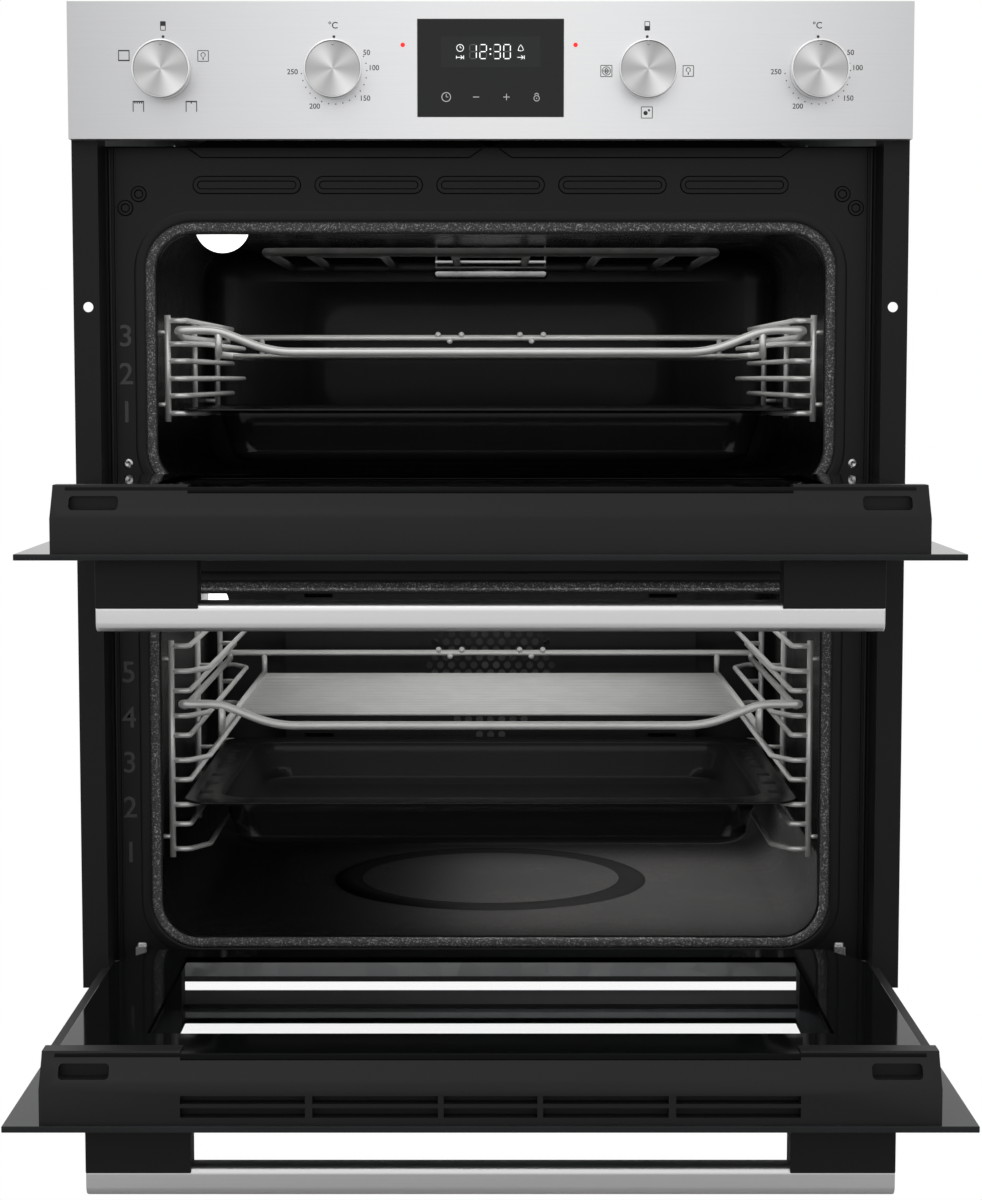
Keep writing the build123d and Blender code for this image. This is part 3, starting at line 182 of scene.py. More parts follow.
# the outline of a rounded rectangle: four arcs, the straight sides are the gaps between them
def roundedOutline(halfAcross, halfUp, corner, steps=8):
    angle = (np.linspace(0, np.pi / 2, steps)[None, :] + np.arange(4)[:, None] * np.pi / 2).ravel()
    signAcross = np.repeat([1, -1, -1, 1], steps)
    signUp = np.repeat([1, 1, -1, -1], steps)
    across = signAcross * (halfAcross - corner) + corner * np.cos(angle)
    up = signUp * (halfUp - corner) + corner * np.sin(angle)
    return across, up


# a shell of rings: every ring is a rounded rectangle in XZ at its own depth, or in XY at its height
def ringShell(rings, upright=True, steps=8, wrap=False):
    layers = []
    for halfAcross, halfUp, corner, centre, level in rings:
        across, up = roundedOutline(halfAcross, halfUp, corner, steps)
        flat = np.full_like(across, level)
        spread = [across, flat, up + centre] if upright else [across, up + centre, flat]
        layers.append(np.stack(spread, axis=-1))
    points = np.stack(layers)
    faces = gridFaces(len(points), points.shape[1], wrapRows=wrap, wrapCols=True)
    return points.reshape(-1, 3) * mm, faces


# a turned shape: a profile of (radius, distance) carried round an axis along Y
def turned(profile, centre, sides=64):
    profile = np.asarray(profile, dtype=float)
    angle = np.linspace(0, 2 * np.pi, sides, endpoint=False)
    x = centre[0] + profile[:, 0, None] * np.cos(angle)
    z = centre[2] + profile[:, 0, None] * np.sin(angle)
    y = np.broadcast_to((centre[1] + profile[:, 1])[:, None], x.shape)
    points = np.stack([x, y, z], axis=-1)
    return points.reshape(-1, 3) * mm, gridFaces(len(profile), sides, wrapCols=True)


# a flat stroke in the XZ plane: the line shifted half a width to each side along its normal
def stroke(line, width, y):
    line = np.asarray(line, dtype=float)
    along = np.gradient(line, axis=0)
    along /= np.linalg.norm(along, axis=1)[:, None] + 1e-12
    normal = np.stack([-along[:, 1], along[:, 0]], axis=-1) * width / 2
    edges = np.stack([line + normal, line - normal], axis=1)
    points = np.stack([edges[..., 0], np.full(edges.shape[:2], y), edges[..., 1]], axis=-1)
    return points.reshape(-1, 3) * mm, gridFaces(len(line), 2)


def arc(x, z, radius, start=0, stop=360, steps=24):
    angle = np.radians(np.linspace(start, stop, steps))
    return np.stack([x + radius * np.cos(angle), z + radius * np.sin(angle)], axis=-1)


# a filled dot: a ring of points joined to its middle
def dot(x, z, radius, y, sides=20):
    outer = arc(x, z, radius, 0, 360 - 360 / sides, sides)
    inner = arc(x, z, 1e-4, 0, 360 - 360 / sides, sides)
    flat = np.stack([outer, inner])
    points = np.stack([flat[..., 0], np.full(flat.shape[:2], y), flat[..., 1]], axis=-1)
    return points.reshape(-1, 3) * mm, gridFaces(2, sides, wrapCols=True)


# shader tools

# wraps a socket, so that arithmetic on it adds Math nodes
class Val:
    def __init__(self, tree, socket):
        self.tree, self.socket = tree, socket

    def math(self, operation, other=0.0, swapped=False):
        node = self.tree.nodes.new("ShaderNodeMath")
        node.operation = operation
        first, second = (other, self) if swapped else (self, other)
        for slotIndex, value in enumerate((first, second)):
            if isinstance(value, Val):
                self.tree.links.new(value.socket, node.inputs[slotIndex])
            else:
                node.inputs[slotIndex].default_value = value
        return Val(self.tree, node.outputs[0])

    def __add__(self, other): return self.math("ADD", other)
    def __sub__(self, other): return self.math("SUBTRACT", other)
    def __rsub__(self, other): return self.math("SUBTRACT", other, True)
    def __mul__(self, other): return self.math("MULTIPLY", other)
    def __truediv__(self, other): return self.math("DIVIDE", other)
    def __pow__(self, other): return self.math("POWER", other)
    def __lt__(self, other): return self.math("LESS_THAN", other)
    def __gt__(self, other): return self.math("GREATER_THAN", other)
    def __abs__(self): return self.math("ABSOLUTE")


# a material under construction: one principled shader and whatever feeds it
class Finish:
    def __init__(self, name, **fixed):
        self.material = bpy.data.materials.new(name)
        self.material.use_nodes = True
        self.tree = self.material.node_tree
        self.shader = self.tree.nodes["Principled BSDF"]
        self.output = self.tree.nodes["Material Output"]
        for socket, value in fixed.items():
            self.shader.inputs[socket.replace("_", " ")].default_value = value

    def node(self, kind, settings=None, inputs=None, out=0):
        node = self.tree.nodes.new("ShaderNode" + kind)
        for key, value in (settings or {}).items():
            if key == "stops":
                ramp = node.color_ramp.elements
                while len(ramp) < len(value):
                    ramp.new(0.5)
                for element, (position, color) in zip(ramp, value):
                    element.position = position
                    element.color = (*color, 1) if isinstance(color, tuple) else (color, color, color, 1)
            else:
                setattr(node, key, value)
        for key, value in (inputs or {}).items():
            if isinstance(value, Val):
                self.tree.links.new(value.socket, node.inputs[key])
            else:
                node.inputs[key].default_value = value
        return Val(self.tree, node.outputs[out])

    def place(self, scale=(1, 1, 1), shift=(0, 0, 0)):
        spot = self.node("TexCoord", out=3)
        return self.node("Mapping", {}, {"Vector": spot, "Scale": scale, "Location": shift})

    def axes(self):
        spot = self.node("TexCoord", out=3)
        split = self.node("SeparateXYZ", {}, {0: spot})
        return [Val(self.tree, split.socket.node.outputs[k]) for k in range(3)]

    def noise(self, scale, detail=3.0, roughness=0.55, stretch=(1, 1, 1)):
        inputs = {"Vector": self.place(stretch), "Scale": scale, "Detail": detail, "Roughness": roughness}
        return self.node("TexNoise", {}, inputs)

    def blend(self, factor, first, second):
        node = self.tree.nodes.new("ShaderNodeMix")
        node.data_type = "RGBA"
        for slotIndex, value in ((0, factor), (6, first), (7, second)):
            if isinstance(value, Val):
                self.tree.links.new(value.socket, node.inputs[slotIndex])
            else:
                node.inputs[slotIndex].default_value = value if slotIndex == 0 else (*value, 1)
        return Val(self.tree, node.outputs[2])

    def bump(self, height, strength, distance):
        normal = self.node("Bump", {}, {"Height": height, "Strength": strength, "Distance": distance * mm})
        self.feed("Normal", normal)

    def feed(self, socket, value):
        self.tree.links.new(value.socket, self.shader.inputs[socket])
        return self

    # lets the ray straight through where the mask is 1
    def clearWhere(self, mask):
        clear = self.tree.nodes.new("ShaderNodeBsdfTransparent")
        mix = self.tree.nodes.new("ShaderNodeMixShader")
        self.tree.links.new(mask.socket, mix.inputs[0])
        self.tree.links.new(self.shader.outputs[0], mix.inputs[1])
        self.tree.links.new(clear.outputs[0], mix.inputs[2])
        self.tree.links.new(mix.outputs[0], self.output.inputs[0])


def grey(value):
    return (value, value, value)


# finishes

# edge and middle are the levels of a painted highlight; roughness and grain belong to the brushed finish
steelLookWithPaintedSheen = {"edge": 0.66, "middle": 1.0, "roughness": 0.36, "grain": 0.05}


def brushedFascia():
    look = steelLookWithPaintedSheen
    finish = Finish("brushedFascia", Metallic=1.0)
    x, y, z = finish.axes()
    grain = finish.noise(1.0, 4.0, 0.6, (7, 60, 900))
    fine = finish.noise(1.0, 2.0, 0.5, (30, 60, 3200))
    # painted highlight: the fascia is brighter in the middle and darker towards both ends, standing in for
    # the reflection of a light in front of it
    spread = 1 - (abs(x - 0.02) / 0.32) ** 1.6
    level = spread * (look["middle"] - look["edge"]) + look["edge"]
    level = level + (grain - 0.5) * look["grain"] + (fine - 0.5) * 0.05
    finish.feed("Base Color", finish.blend(level, grey(0.0), (1.0, 1.005, 1.02)))
    finish.feed("Roughness", (grain - 0.5) * 0.12 + look["roughness"])
    finish.bump(grain, 0.05, 0.03)
    return finish.material


def blackEnamel(name="blackEnamel", tone=0.008, roughness=0.30, peel=0.06, gloss=0.22):
    finish = Finish(name, Specular_IOR_Level=gloss)
    cloud = finish.noise(9.0, 3.0)
    speck = finish.noise(2200.0, 1.0)
    warm = (tone * 1.22, tone * 1.16, tone * 1.13)
    finish.feed("Base Color", finish.blend(cloud, grey(tone * 0.85), warm))
    finish.feed("Roughness", (cloud - 0.5) * 0.10 + (speck - 0.5) * 0.06 + roughness)
    finish.bump(finish.noise(260.0, 2.0), peel, 0.08)
    return finish.material


def satinBlackSteel():
    finish = Finish("satinBlackSteel", Specular_IOR_Level=0.2)
    cloud = finish.noise(14.0, 3.0)
    texture = finish.noise(1500.0, 2.0)
    finish.feed("Base Color", finish.blend(cloud, grey(0.008), (0.012, 0.0115, 0.0115)))
    finish.feed("Roughness", (texture - 0.5) * 0.15 + 0.46)
    finish.bump(texture, 0.10, 0.04)
    return finish.material


def mouldedPlastic(name, tone, roughness=0.42):
    finish = Finish(name, Specular_IOR_Level=0.2)
    cloud = finish.noise(20.0, 2.0)
    texture = finish.noise(3200.0, 2.0)
    finish.feed("Base Color", finish.blend(cloud, grey(tone * 0.92), grey(tone * 1.08)))
    finish.feed("Roughness", (texture - 0.5) * 0.18 + roughness)
    finish.bump(texture, 0.14, 0.03)
    return finish.material


def galvanisedSheet():
    finish = Finish("galvanisedSheet", Metallic=0.9)
    flakes = finish.node("TexVoronoi", {}, {"Vector": finish.place(), "Scale": 75.0}, out=1)
    tone = finish.node("RGBToBW", {}, {0: flakes})
    cloud = finish.noise(5.0, 4.0)
    mixed = tone * 0.5 + cloud * 0.5
    finish.feed("Base Color", finish.blend(mixed, (0.42, 0.43, 0.44), (0.66, 0.67, 0.68)))
    finish.feed("Roughness", tone * 0.2 + 0.32)
    return finish.material


def wovenFibre():
    finish = Finish("wovenFibre", Roughness=0.9)
    strands = finish.noise(620.0, 5.0, 0.75)
    # painted glints: bright specks scattered over the woven fibre
    glintSpecks = finish.noise(800.0, 3.0, 0.8)
    mask = (glintSpecks > 0.58) * 0.42
    tone = finish.blend(strands, grey(0.018), grey(0.095))
    finish.feed("Base Color", finish.blend(mask, tone, grey(0.9)))
    finish.bump(strands, 0.8, 0.5)
    return finish.material


def mineralWool():
    finish = Finish("mineralWool", Roughness=0.95)
    clumps = finish.noise(60.0, 6.0, 0.7)
    finish.feed("Base Color", finish.blend(clumps, (0.45, 0.40, 0.25), (0.78, 0.74, 0.55)))
    finish.bump(clumps, 0.9, 3.0)
    return finish.material


def brightWire():
    finish = Finish("brightWire", Metallic=0.55)
    cloud = finish.noise(45.0, 3.0)
    finish.feed("Base Color", finish.blend(cloud, (0.70, 0.70, 0.68), (0.86, 0.86, 0.84)))
    finish.feed("Roughness", (cloud - 0.5) * 0.12 + 0.33)
    return finish.material


def heatedTube():
    finish = Finish("heatedTube", Metallic=0.6)
    cloud = finish.noise(90.0, 4.0)
    finish.feed("Base Color", finish.blend(cloud, (0.012, 0.0115, 0.0115), (0.034, 0.033, 0.032)))
    finish.feed("Roughness", cloud * 0.2 + 0.40)
    return finish.material


def satinHandle(name, light):
    finish = Finish(name, Metallic=1.0)
    grain = finish.noise(1.0, 3.0, 0.6, (6, 900, 900))
    finish.feed("Base Color", finish.blend(grain, grey(light - 0.05), grey(light)))
    finish.feed("Roughness", (grain - 0.5) * 0.04 + 0.30)
    return finish.material


def plainMetal(name, dark, light, roughness=0.35):
    finish = Finish(name, Metallic=0.95)
    cloud = finish.noise(40.0, 4.0)
    finish.feed("Base Color", finish.blend(cloud, grey(dark), grey(light)))
    finish.feed("Roughness", (cloud - 0.5) * 0.2 + roughness)
    return finish.material


# black printed glass, clear inside a rectangle in X and Y when the door lies open
def printedGlass(name, window=None, tone=0.003, gloss=0.12):
    finish = Finish(name, Specular_IOR_Level=gloss)
    smudge = finish.noise(18.0, 4.0)
    finish.feed("Base Color", finish.blend(smudge, grey(tone), (tone * 1.3, tone * 1.5, tone * 1.6)))
    finish.feed("Roughness", smudge * 0.03 + 0.035)
    if window:
        x, y, z = finish.axes()
        low, high, half = window
        mask = (abs(x) < half) * (y > low) * (y < high)
        finish.clearWhere(mask * 0.97)
    return finish.material


# turned metal with a painted reflection: bright bow-tie wedges from the cosine of twice the angle, and a
# painted highlight on the rim; both turn with the knob
def spunKnob(name, centre, outer):
    finish = Finish(name, Metallic=1.0)
    x, y, z = finish.axes()
    across, up = x - centre[0], z - centre[2]
    angle = up.math("ARCTAN2", across)
    # painted reflection: bright wedges across the dish
    wedgeGlint = ((angle - 2.20).math("COSINE").math("ABSOLUTE")) ** 6.0
    second = ((angle - 0.62).math("COSINE").math("ABSOLUTE")) ** 14.0
    ring = {"W": angle * 9.0, "Scale": 3.0, "Detail": 4.0}
    streak = finish.node("TexNoise", {"noise_dimensions": "1D"}, ring)
    distance = (across * across + up * up) ** 0.5
    # painted highlight: the outer ring of the face is made bright
    rim = distance > (outer - 1.35) * mm
    face = wedgeGlint * 0.42 + second * 0.22 + (streak - 0.5) * 0.10 + 0.50
    level = face * (1 - rim) + rim * 0.96
    finish.feed("Base Color", finish.blend(level, grey(0.0), grey(1.0)))
    finish.feed("Roughness", (streak - 0.5) * 0.06 + 0.30)
    return finish.material


def glowing(name, color, strength):
    finish = Finish(name, Base_Color=(*color, 1), Roughness=0.3)
    cloud = finish.noise(200.0, 2.0)
    finish.feed("Emission Color", finish.blend(cloud, color, tuple(min(1, c * 1.06) for c in color)))
    finish.shader.inputs["Emission Strength"].default_value = strength
    return finish.material


def printedInk():
    finish = Finish("printedInk", Roughness=0.5)
    cloud = finish.noise(900.0, 2.0)
    finish.feed("Base Color", finish.blend(cloud, grey(0.020), grey(0.035)))
    return finish.material


finishes = {
    "fascia": brushedFascia(),
    "enamel": blackEnamel(),
    "cavityEnamel": blackEnamel("cavityEnamel", 0.007, 0.26, 0.05, 0.20),
    "trayEnamel": blackEnamel("trayEnamel", 0.007, 0.20, 0.04, 0.30),
    "floorRing": blackEnamel("floorRing", 0.0022, 0.34, 0.03, 0.12),
    # the embossed level digits are the panel's enamel, painted lighter and glossier as a painted highlight
    # on their relief
    "digit": blackEnamel("levelDigitPaintedHighlight", 0.030, 0.22, 0.03, 0.5),
    # near-black painted shade for the creases round the beads and along the folds
    "paintedShade": blackEnamel("paintedShadeEnamel", 0.001, 0.5, 0.03, 0.05),
    "steel": satinBlackSteel(),
    "plastic": mouldedPlastic("doorPlastic", 0.012),
    "bracketPlastic": mouldedPlastic("bracketPlastic", 0.007, 0.5),
    "greyPlastic": mouldedPlastic("greyPlastic", 0.30),
    "zinc": galvanisedSheet(),
    "fibre": wovenFibre(),
    "lipSteel": mouldedPlastic("lipSteel", 0.035, 0.4),
    "wool": mineralWool(),
    "wire": brightWire(),
    "element": heatedTube(),
    # the two handles are the same metal; the lower one is painted darker as shade
    "upperHandle": satinHandle("upperHandleMetal", 1.0),
    "lowerHandle": satinHandle("lowerHandleShadedMetal", 0.84),
    "darkMetal": plainMetal("darkMetal", 0.10, 0.20),
    "zincFlange": mouldedPlastic("zincFlange", 0.13, 0.5),
    "lightMetal": plainMetal("lightMetal", 0.55, 0.72, 0.28),
    "display": printedGlass("displayGlass", tone=0.006, gloss=0.35),
    "screen": printedGlass("screenGlass", tone=0.011, gloss=0.35),
    "ink": printedInk(),
    "lit": glowing("litSegments", (0.86, 0.88, 0.88), 0.78),
    # the unlit segments are given a faint painted glow
    "unlit": glowing("unlitSegmentsPaintedGlow", (0.10, 0.10, 0.10), 0.12),
    "key": glowing("keySymbols", (0.45, 0.45, 0.45), 0.45),
    "red": glowing("redLens", (0.80, 0.012, 0.010), 0.9),
    "lamp": glowing("lampGlass", (1.0, 1.0, 0.98), 1.4),
    "ceramic": mouldedPlastic("glazedCeramic", 0.7, 0.25),
}
print("finishes made:", len(finishes))


def paint(piece, finish):
    material = finishes[finish] if isinstance(finish, str) else finish
    piece.data.materials.clear()
    piece.data.materials.append(material)
    return piece


def paintNode(node, finish):
    for slotItem in nodes[node].material_slots:
        slotItem.material = finishes[finish]


cadFinishes = {
    # the cooling duct, seen through the outlet, takes the near-black painted shade
    "paintedShade": ["cooling_duct"],
    "steel": ["front_frame", "upper_door_frame", "lower_door_frame", "upper_hinge_channels",
              "lower_hinge_channels"],
    "enamel": ["front_panel"],
    "cavityEnamel": ["fan_cover"],
    "zinc": ["base_plate", "outer_casing", "rear_cover", "blower_housing"],
    "wool": ["upper_insulation", "lower_insulation"],
    "element": ["upper_base_element", "ring_element"],
    "darkMetal": ["grill_bracket", "fan_motor", "thermostats", "blower_rotor"],
    "zincFlange": ["fan_impeller"],
    "lightMetal": ["upper_hinge_mounts", "lower_hinge_mounts"],
    "greyPlastic": ["fascia_carrier", "control_module", "selector_switches"],
    "ceramic": ["lamp_holders", "terminal_block"],
    "red": ["indicator_lenses"],
    "lamp": ["upper_lamp_lens", "lower_lamp_lens"],
}
for finishName, group in cadFinishes.items():
    for node in group:
        paintNode(node, finishName)


def corners(node):
    low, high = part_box(node)
    return np.array(low) / mm, np.array(high) / mm


# doors

doorLook = {"capEdge": 1.4, "glassEdge": 0.5, "bracketEdge": 0.8, "barEdge": 1.0, "windowHalf": 0.217}


def buildDoor(level):
    body = level + "_door"
    paint(softened(level + "_door_cap", doorLook["capEdge"], body, 3), "plastic")
    paint(softened(level + "_handle_brackets", doorLook["bracketEdge"], body, 2), "bracketPlastic")
    paint(softened(level + "_handle_bar", doorLook["barEdge"], body, 2), level + "Handle")
    outer = softened(level + "_door_glass", doorLook["glassEdge"], body, 2)
    inner = softened(level + "_door_inner_glass", doorLook["glassEdge"], body, 2)
    low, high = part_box(level + "_door_glass")
    hingeEdge = high[1]
    half = doorLook["windowHalf"]
    outerWindow = (low[1] + 0.075, hingeEdge - 0.0735, half)
    innerWindow = (low[1] + 0.0625, hingeEdge - 0.062, half)
    paint(outer, printedGlass(level + "OuterGlass", outerWindow, 0.018))
    paint(inner, printedGlass(level + "InnerGlass", innerWindow))


for doorLevel in ("upper", "lower"):
    buildDoor(doorLevel)
print("doors done")

# control panel

panelLook = {"ink": 0.08, "knobSides": 96, "dialRadius": 23.0}
fasciaLow, fasciaHigh = corners("fascia_panel")
inkPlane = fasciaLow[1] - panelLook["ink"]
paint(softened("fascia_panel", 0.5, "carcass", 2), "fascia")
paint(softened("display_window", 0.5, "carcass", 2), "display")


def buildKnob(node):
    low, high = corners(node)
    x, z = (low[0] + high[0]) / 2, (low[2] + high[2]) / 2
    front = low[1]
    base = fasciaLow[1] - 0.8
    outer = (high[0] - low[0]) / 2
    # profile from the spindle's end, out under the skirt, up the side, over the rim, into the dish
    profile = [
        (0.0, high[1] - front), (3.0, high[1] - front), (3.0, base - front), (outer - 1.6, base - front),
        (outer - 1.0, base - front - 0.5), (outer - 0.8, 6.0), (outer - 0.3, 2.0), (outer - 0.05, 1.1),
        (outer - 0.05, 0.7), (outer - 0.3, 0.25), (outer - 0.7, 0.0), (outer - 1.25, 0.0),
        (outer - 1.5, 0.35), (outer - 1.75, 0.75), (outer - 2.0, 0.8), (outer * 0.5, 1.0), (0.0, 1.15),
    ]
    knob = makePiece(
        node + "_turned", [turned(profile, (x, front, z), panelLook["knobSides"])], node + "_body",
        [node],
    )
    paint(knob, spunKnob(node + "Metal", (x * mm, front * mm, z * mm), outer))
    sharpenByAngle(knob, 35)
    pointer = [turned([(0.0, -0.15), (0.9, -0.1), (0.9, 0.4)], (x, front + 0.6, z + outer - 3.6), 16)]
    paint(makePiece(node + "_pointer", pointer, node + "_body"), "lightMetal")


def sharpenByAngle(piece, degrees):
    bm = bmesh.new()
    bm.from_mesh(piece.data)
    limit = math.radians(degrees)
    for edge in bm.edges:
        if len(edge.link_faces) == 2 and edge.calc_face_angle(0) > limit:
            edge.smooth = False
    bm.to_mesh(piece.data)
    bm.free()


knobNodes = ["upper_selector_knob", "upper_thermostat_knob", "lower_selector_knob", "lower_thermostat_knob"]
for knobNode in knobNodes:
    buildKnob(knobNode)


def lettering(name, text, x, z, height, y, body, finish, depth=0.02):
    curve = bpy.data.curves.new(name, "FONT")
    curve.body = text
    curve.size = height * mm * 1.38
    curve.extrude = depth * mm
    curve.offset = height * 0.012 * mm
    curve.align_x, curve.align_y = "CENTER", "CENTER"
    flat = bpy.data.objects.new(name + "_curve", curve)
    bpy.context.scene.collection.objects.link(flat)
    bpy.context.view_layer.update()
    mesh = bpy.data.meshes.new_from_object(flat.evaluated_get(bpy.context.evaluated_depsgraph_get()))
    bpy.data.objects.remove(flat)
    co = np.empty(len(mesh.vertices) * 3, dtype=np.float32)
    mesh.vertices.foreach_get("co", co)
    co = co.reshape(-1, 3)
    turnedCo = np.stack([co[:, 0] + x * mm, y * mm - co[:, 2], co[:, 1] + z * mm], axis=-1)
    mesh.vertices.foreach_set("co", turnedCo.astype(np.float32).ravel())
    mesh.update()
    piece = bpy.data.objects.new(name, mesh)
    bpy.context.scene.collection.objects.link(piece)
    return paint(placed(piece, body), finish)


knobX = {name: (corners(name)[0][0] + corners(name)[1][0]) / 2 for name in knobNodes}
knobZ = (corners(knobNodes[0])[0][2] + corners(knobNodes[0])[1][2]) / 2


def buildDial(prefix, x):
    marks = {
        "50": (22.9, 12.7), "100": (27.9, 2.1), "150": (21.6, -19.0), "200": (-13.8, -24.6),
        "250": (-29.3, -0.7),
    }
    radius = panelLook["dialRadius"]
    dots = [dot(x, knobZ + 23.8, 1.0, inkPlane)]
    for angle in np.arange(64, 275, 12.6):
        turn = math.radians(angle)
        dots.append(dot(x + radius * math.sin(turn), knobZ + radius * math.cos(turn), 0.45, inkPlane, 10))
    paint(makePiece(prefix + "_dial_dots", dots, "carcass"), "ink")
    for text, (across, up) in marks.items():
        lettering(f"{prefix}_mark_{text}", text, x + across, knobZ + up, 3.7, inkPlane, "carcass", "ink")
    lettering(prefix + "_degree_mark", "°C", x - 0.6, knobZ + 31.4, 4.6, inkPlane, "carcass", "ink")


buildDial("upper", knobX["upper_thermostat_knob"])
buildDial("lower", knobX["lower_thermostat_knob"])


def boxOutline(x, z, half, tall):
    signs = ((-1, -1), (1, -1), (1, 1), (-1, 1), (-1, -1))
    return [(x + across * half, z + up * tall) for across, up in signs]


def segmentsOf(points, width=0.35):
    return [stroke([points[k], points[k + 1]], width, inkPlane) for k in range(len(points) - 1)]


def frameSymbol(cx, cz, half, width):
    return segmentsOf(boxOutline(cx, cz, half, half), width)


# heat from above is a thick bar near the top, with teeth for the grill; heat from below a thin one
def heatSymbol(cx, cz, teeth, below=False):
    side = [[(cx + s * 3.7, cz - 3.7), (cx + s * 3.7, cz + 3.7)] for s in (-1, 1)]
    parts = [stroke(line, 0.6, inkPlane) for line in side]
    parts.append(stroke([(cx - 3.9, cz + 3.4), (cx + 3.9, cz + 3.4)], 0.9, inkPlane))
    if below:
        parts.append(stroke([(cx - 3.9, cz - 3.4), (cx + 3.9, cz - 3.4)], 0.9, inkPlane))
    for tooth in range(teeth):
        tx = cx + (tooth - (teeth - 1) / 2) * 1.6
        parts.append(stroke([(tx, cz + 3.0), (tx, cz + 2.0)], 0.8, inkPlane))
    return parts


def ovenSymbols(prefix, x, upper):
    thin = 0.5
    parts = [dot(x, knobZ + 23.8, 1.0, inkPlane)]
    # the oven that this knob serves: a tall box, filled in its upper or lower half
    cx, cz = x, knobZ + 31.2
    parts += segmentsOf(boxOutline(cx, cz, 1.7, 3.0), thin)
    fill = cz + 1.5 if upper else cz - 1.5
    parts.append(stroke([(cx - 1.7, fill), (cx + 1.7, fill)], 3.0, inkPlane))
    # lamp at the right
    cx, cz = (x + 28.0, knobZ + 10.4) if upper else (x + 29.0, knobZ)
    parts += frameSymbol(cx, cz, 3.7, 0.5)
    parts.append(stroke(arc(cx, cz + 0.8, 1.5, -60, 240), thin, inkPlane))
    parts.append(stroke([(cx, cz - 0.8), (cx, cz - 2.6)], 0.8, inkPlane))
    if upper:
        parts += heatSymbol(x - 27.7, knobZ + 10.7, 0, True)
        parts += heatSymbol(x - 17.9, knobZ - 24.6, 4)
        parts += heatSymbol(x + 19.4, knobZ - 24.6, 1)
    else:
        cx, cz = x - 28.6, knobZ
        parts += frameSymbol(cx, cz, 3.9, thin)
        parts.append(stroke(arc(cx, cz, 2.9), thin, inkPlane))
        for turn in range(4):
            bladeX = cx + 1.2 * math.cos(turn * math.pi / 2)
            bladeZ = cz + 1.2 * math.sin(turn * math.pi / 2)
            parts.append(stroke(arc(bladeX, bladeZ, 0.7, 0, 360, 12), 0.5, inkPlane))
        cx, cz = x, knobZ - 28.8
        parts += frameSymbol(cx, cz, 3.9, thin)
        parts.append(dot(cx - 0.9, cz - 0.4, 1.5, inkPlane))
        parts.append(dot(cx + 1.5, cz + 1.5, 0.8, inkPlane))
    paint(makePiece(prefix + "_symbols", parts, "carcass"), "ink")


ovenSymbols("upper", knobX["upper_selector_knob"], True)
ovenSymbols("lower", knobX["lower_selector_knob"], False)


# display

displayLow, displayHigh = corners("display_window")
displayX = (displayLow[0] + displayHigh[0]) / 2
screenPlane = displayLow[1] - 0.03
symbolPlane = displayLow[1] - 0.06
displayLook = {
    "digit": (4.6, 9.7), "weight": 0.66, "screenHalf": 35.0, "screenTop": 12.2, "screenBottom": 33.5,
}
segmentShapes = {
    "a": ((0, 1), (1, 1)), "b": ((1, 1), (1, 0.5)), "c": ((1, 0.5), (1, 0)), "d": ((0, 0), (1, 0)),
    "e": ((0, 0), (0, 0.5)), "f": ((0, 0.5), (0, 1)), "g": ((0, 0.5), (1, 0.5)),
}
litSegments = {"1": "bc", "2": "abged", "3": "abgcd", "0": "abcdef"}


# one bar: a line pulled in at both ends
def bar(start, stop, width, y, gap=0.55):
    start, stop = np.array(start, dtype=float), np.array(stop, dtype=float)
    along = (stop - start) / np.linalg.norm(stop - start)
    return stroke([start + along * gap, stop - along * gap], width, y)


def buildClock():
    wide, tall = displayLook["digit"]
    bottom = displayHigh[2] - 27.6
    starts = [-14.6, -7.5, 2.2, 9.3]
    lit, unlit = [], []
    for digit, start in zip("1230", starts):
        for letter, ends in segmentShapes.items():
            left = displayX + start
            first, last = [(left + x * wide, bottom + z * tall) for x, z in ends]
            piece = bar(first, last, displayLook["weight"], symbolPlane)
            (lit if letter in litSegments[digit] else unlit).append(piece)
    for height in (0.33, 0.68):
        lit.append(dot(displayX - 0.15, bottom + height * tall, 0.62, symbolPlane))
    # small symbols beside the time: clock, bell and two arrows
    for side, cx in ((-1, displayX - 21.4), (1, displayX + 21.2)):
        cz = displayHigh[2] - 20.2
        if side < 0:
            lit.append(stroke(arc(cx, cz, 2.4), 0.42, symbolPlane))
            lit.append(stroke([(cx, cz + 1.5), (cx, cz), (cx + 1.1, cz)], 0.38, symbolPlane))
            lit.append(stroke([(cx - 2.6, cz - 5.4), (cx - 2.6, cz - 7.6)], 0.42, symbolPlane))
        else:
            bell = [
                (cx - 1.9, cz - 1.6), (cx - 1.2, cz + 0.6), (cx, cz + 2.2), (cx + 1.2, cz + 0.6),
                (cx + 1.9, cz - 1.6), (cx, cz - 2.1), (cx - 1.9, cz - 1.6),
            ]
            lit.append(stroke(bell, 0.42, symbolPlane))
        lit.append(stroke([(cx - 2.4, cz - 6.5), (cx + 1.8, cz - 6.5)], 0.42, symbolPlane))
        arrow = [(cx + 0.4, cz - 5.2), (cx + 1.8, cz - 6.5), (cx + 0.4, cz - 7.8)]
        lit.append(stroke(arrow, 0.42, symbolPlane))
        lit.append(stroke([(cx + 2.5, cz - 5.2), (cx + 2.5, cz - 7.8)], 0.42, symbolPlane))
    paint(makePiece("clock_lit", lit, "carcass", smooth=False), "lit")
    paint(makePiece("clock_unlit", unlit, "carcass", smooth=False), "unlit")
    middle = displayHigh[2] - (displayLook["screenTop"] + displayLook["screenBottom"]) / 2
    tallScreen = displayLook["screenBottom"] - displayLook["screenTop"]
    half = displayLook["screenHalf"]
    screen = stroke([(displayX - half, middle), (displayX + half, middle)], tallScreen, screenPlane)
    paint(makePiece("clock_screen", [screen], "carcass", smooth=False), "screen")


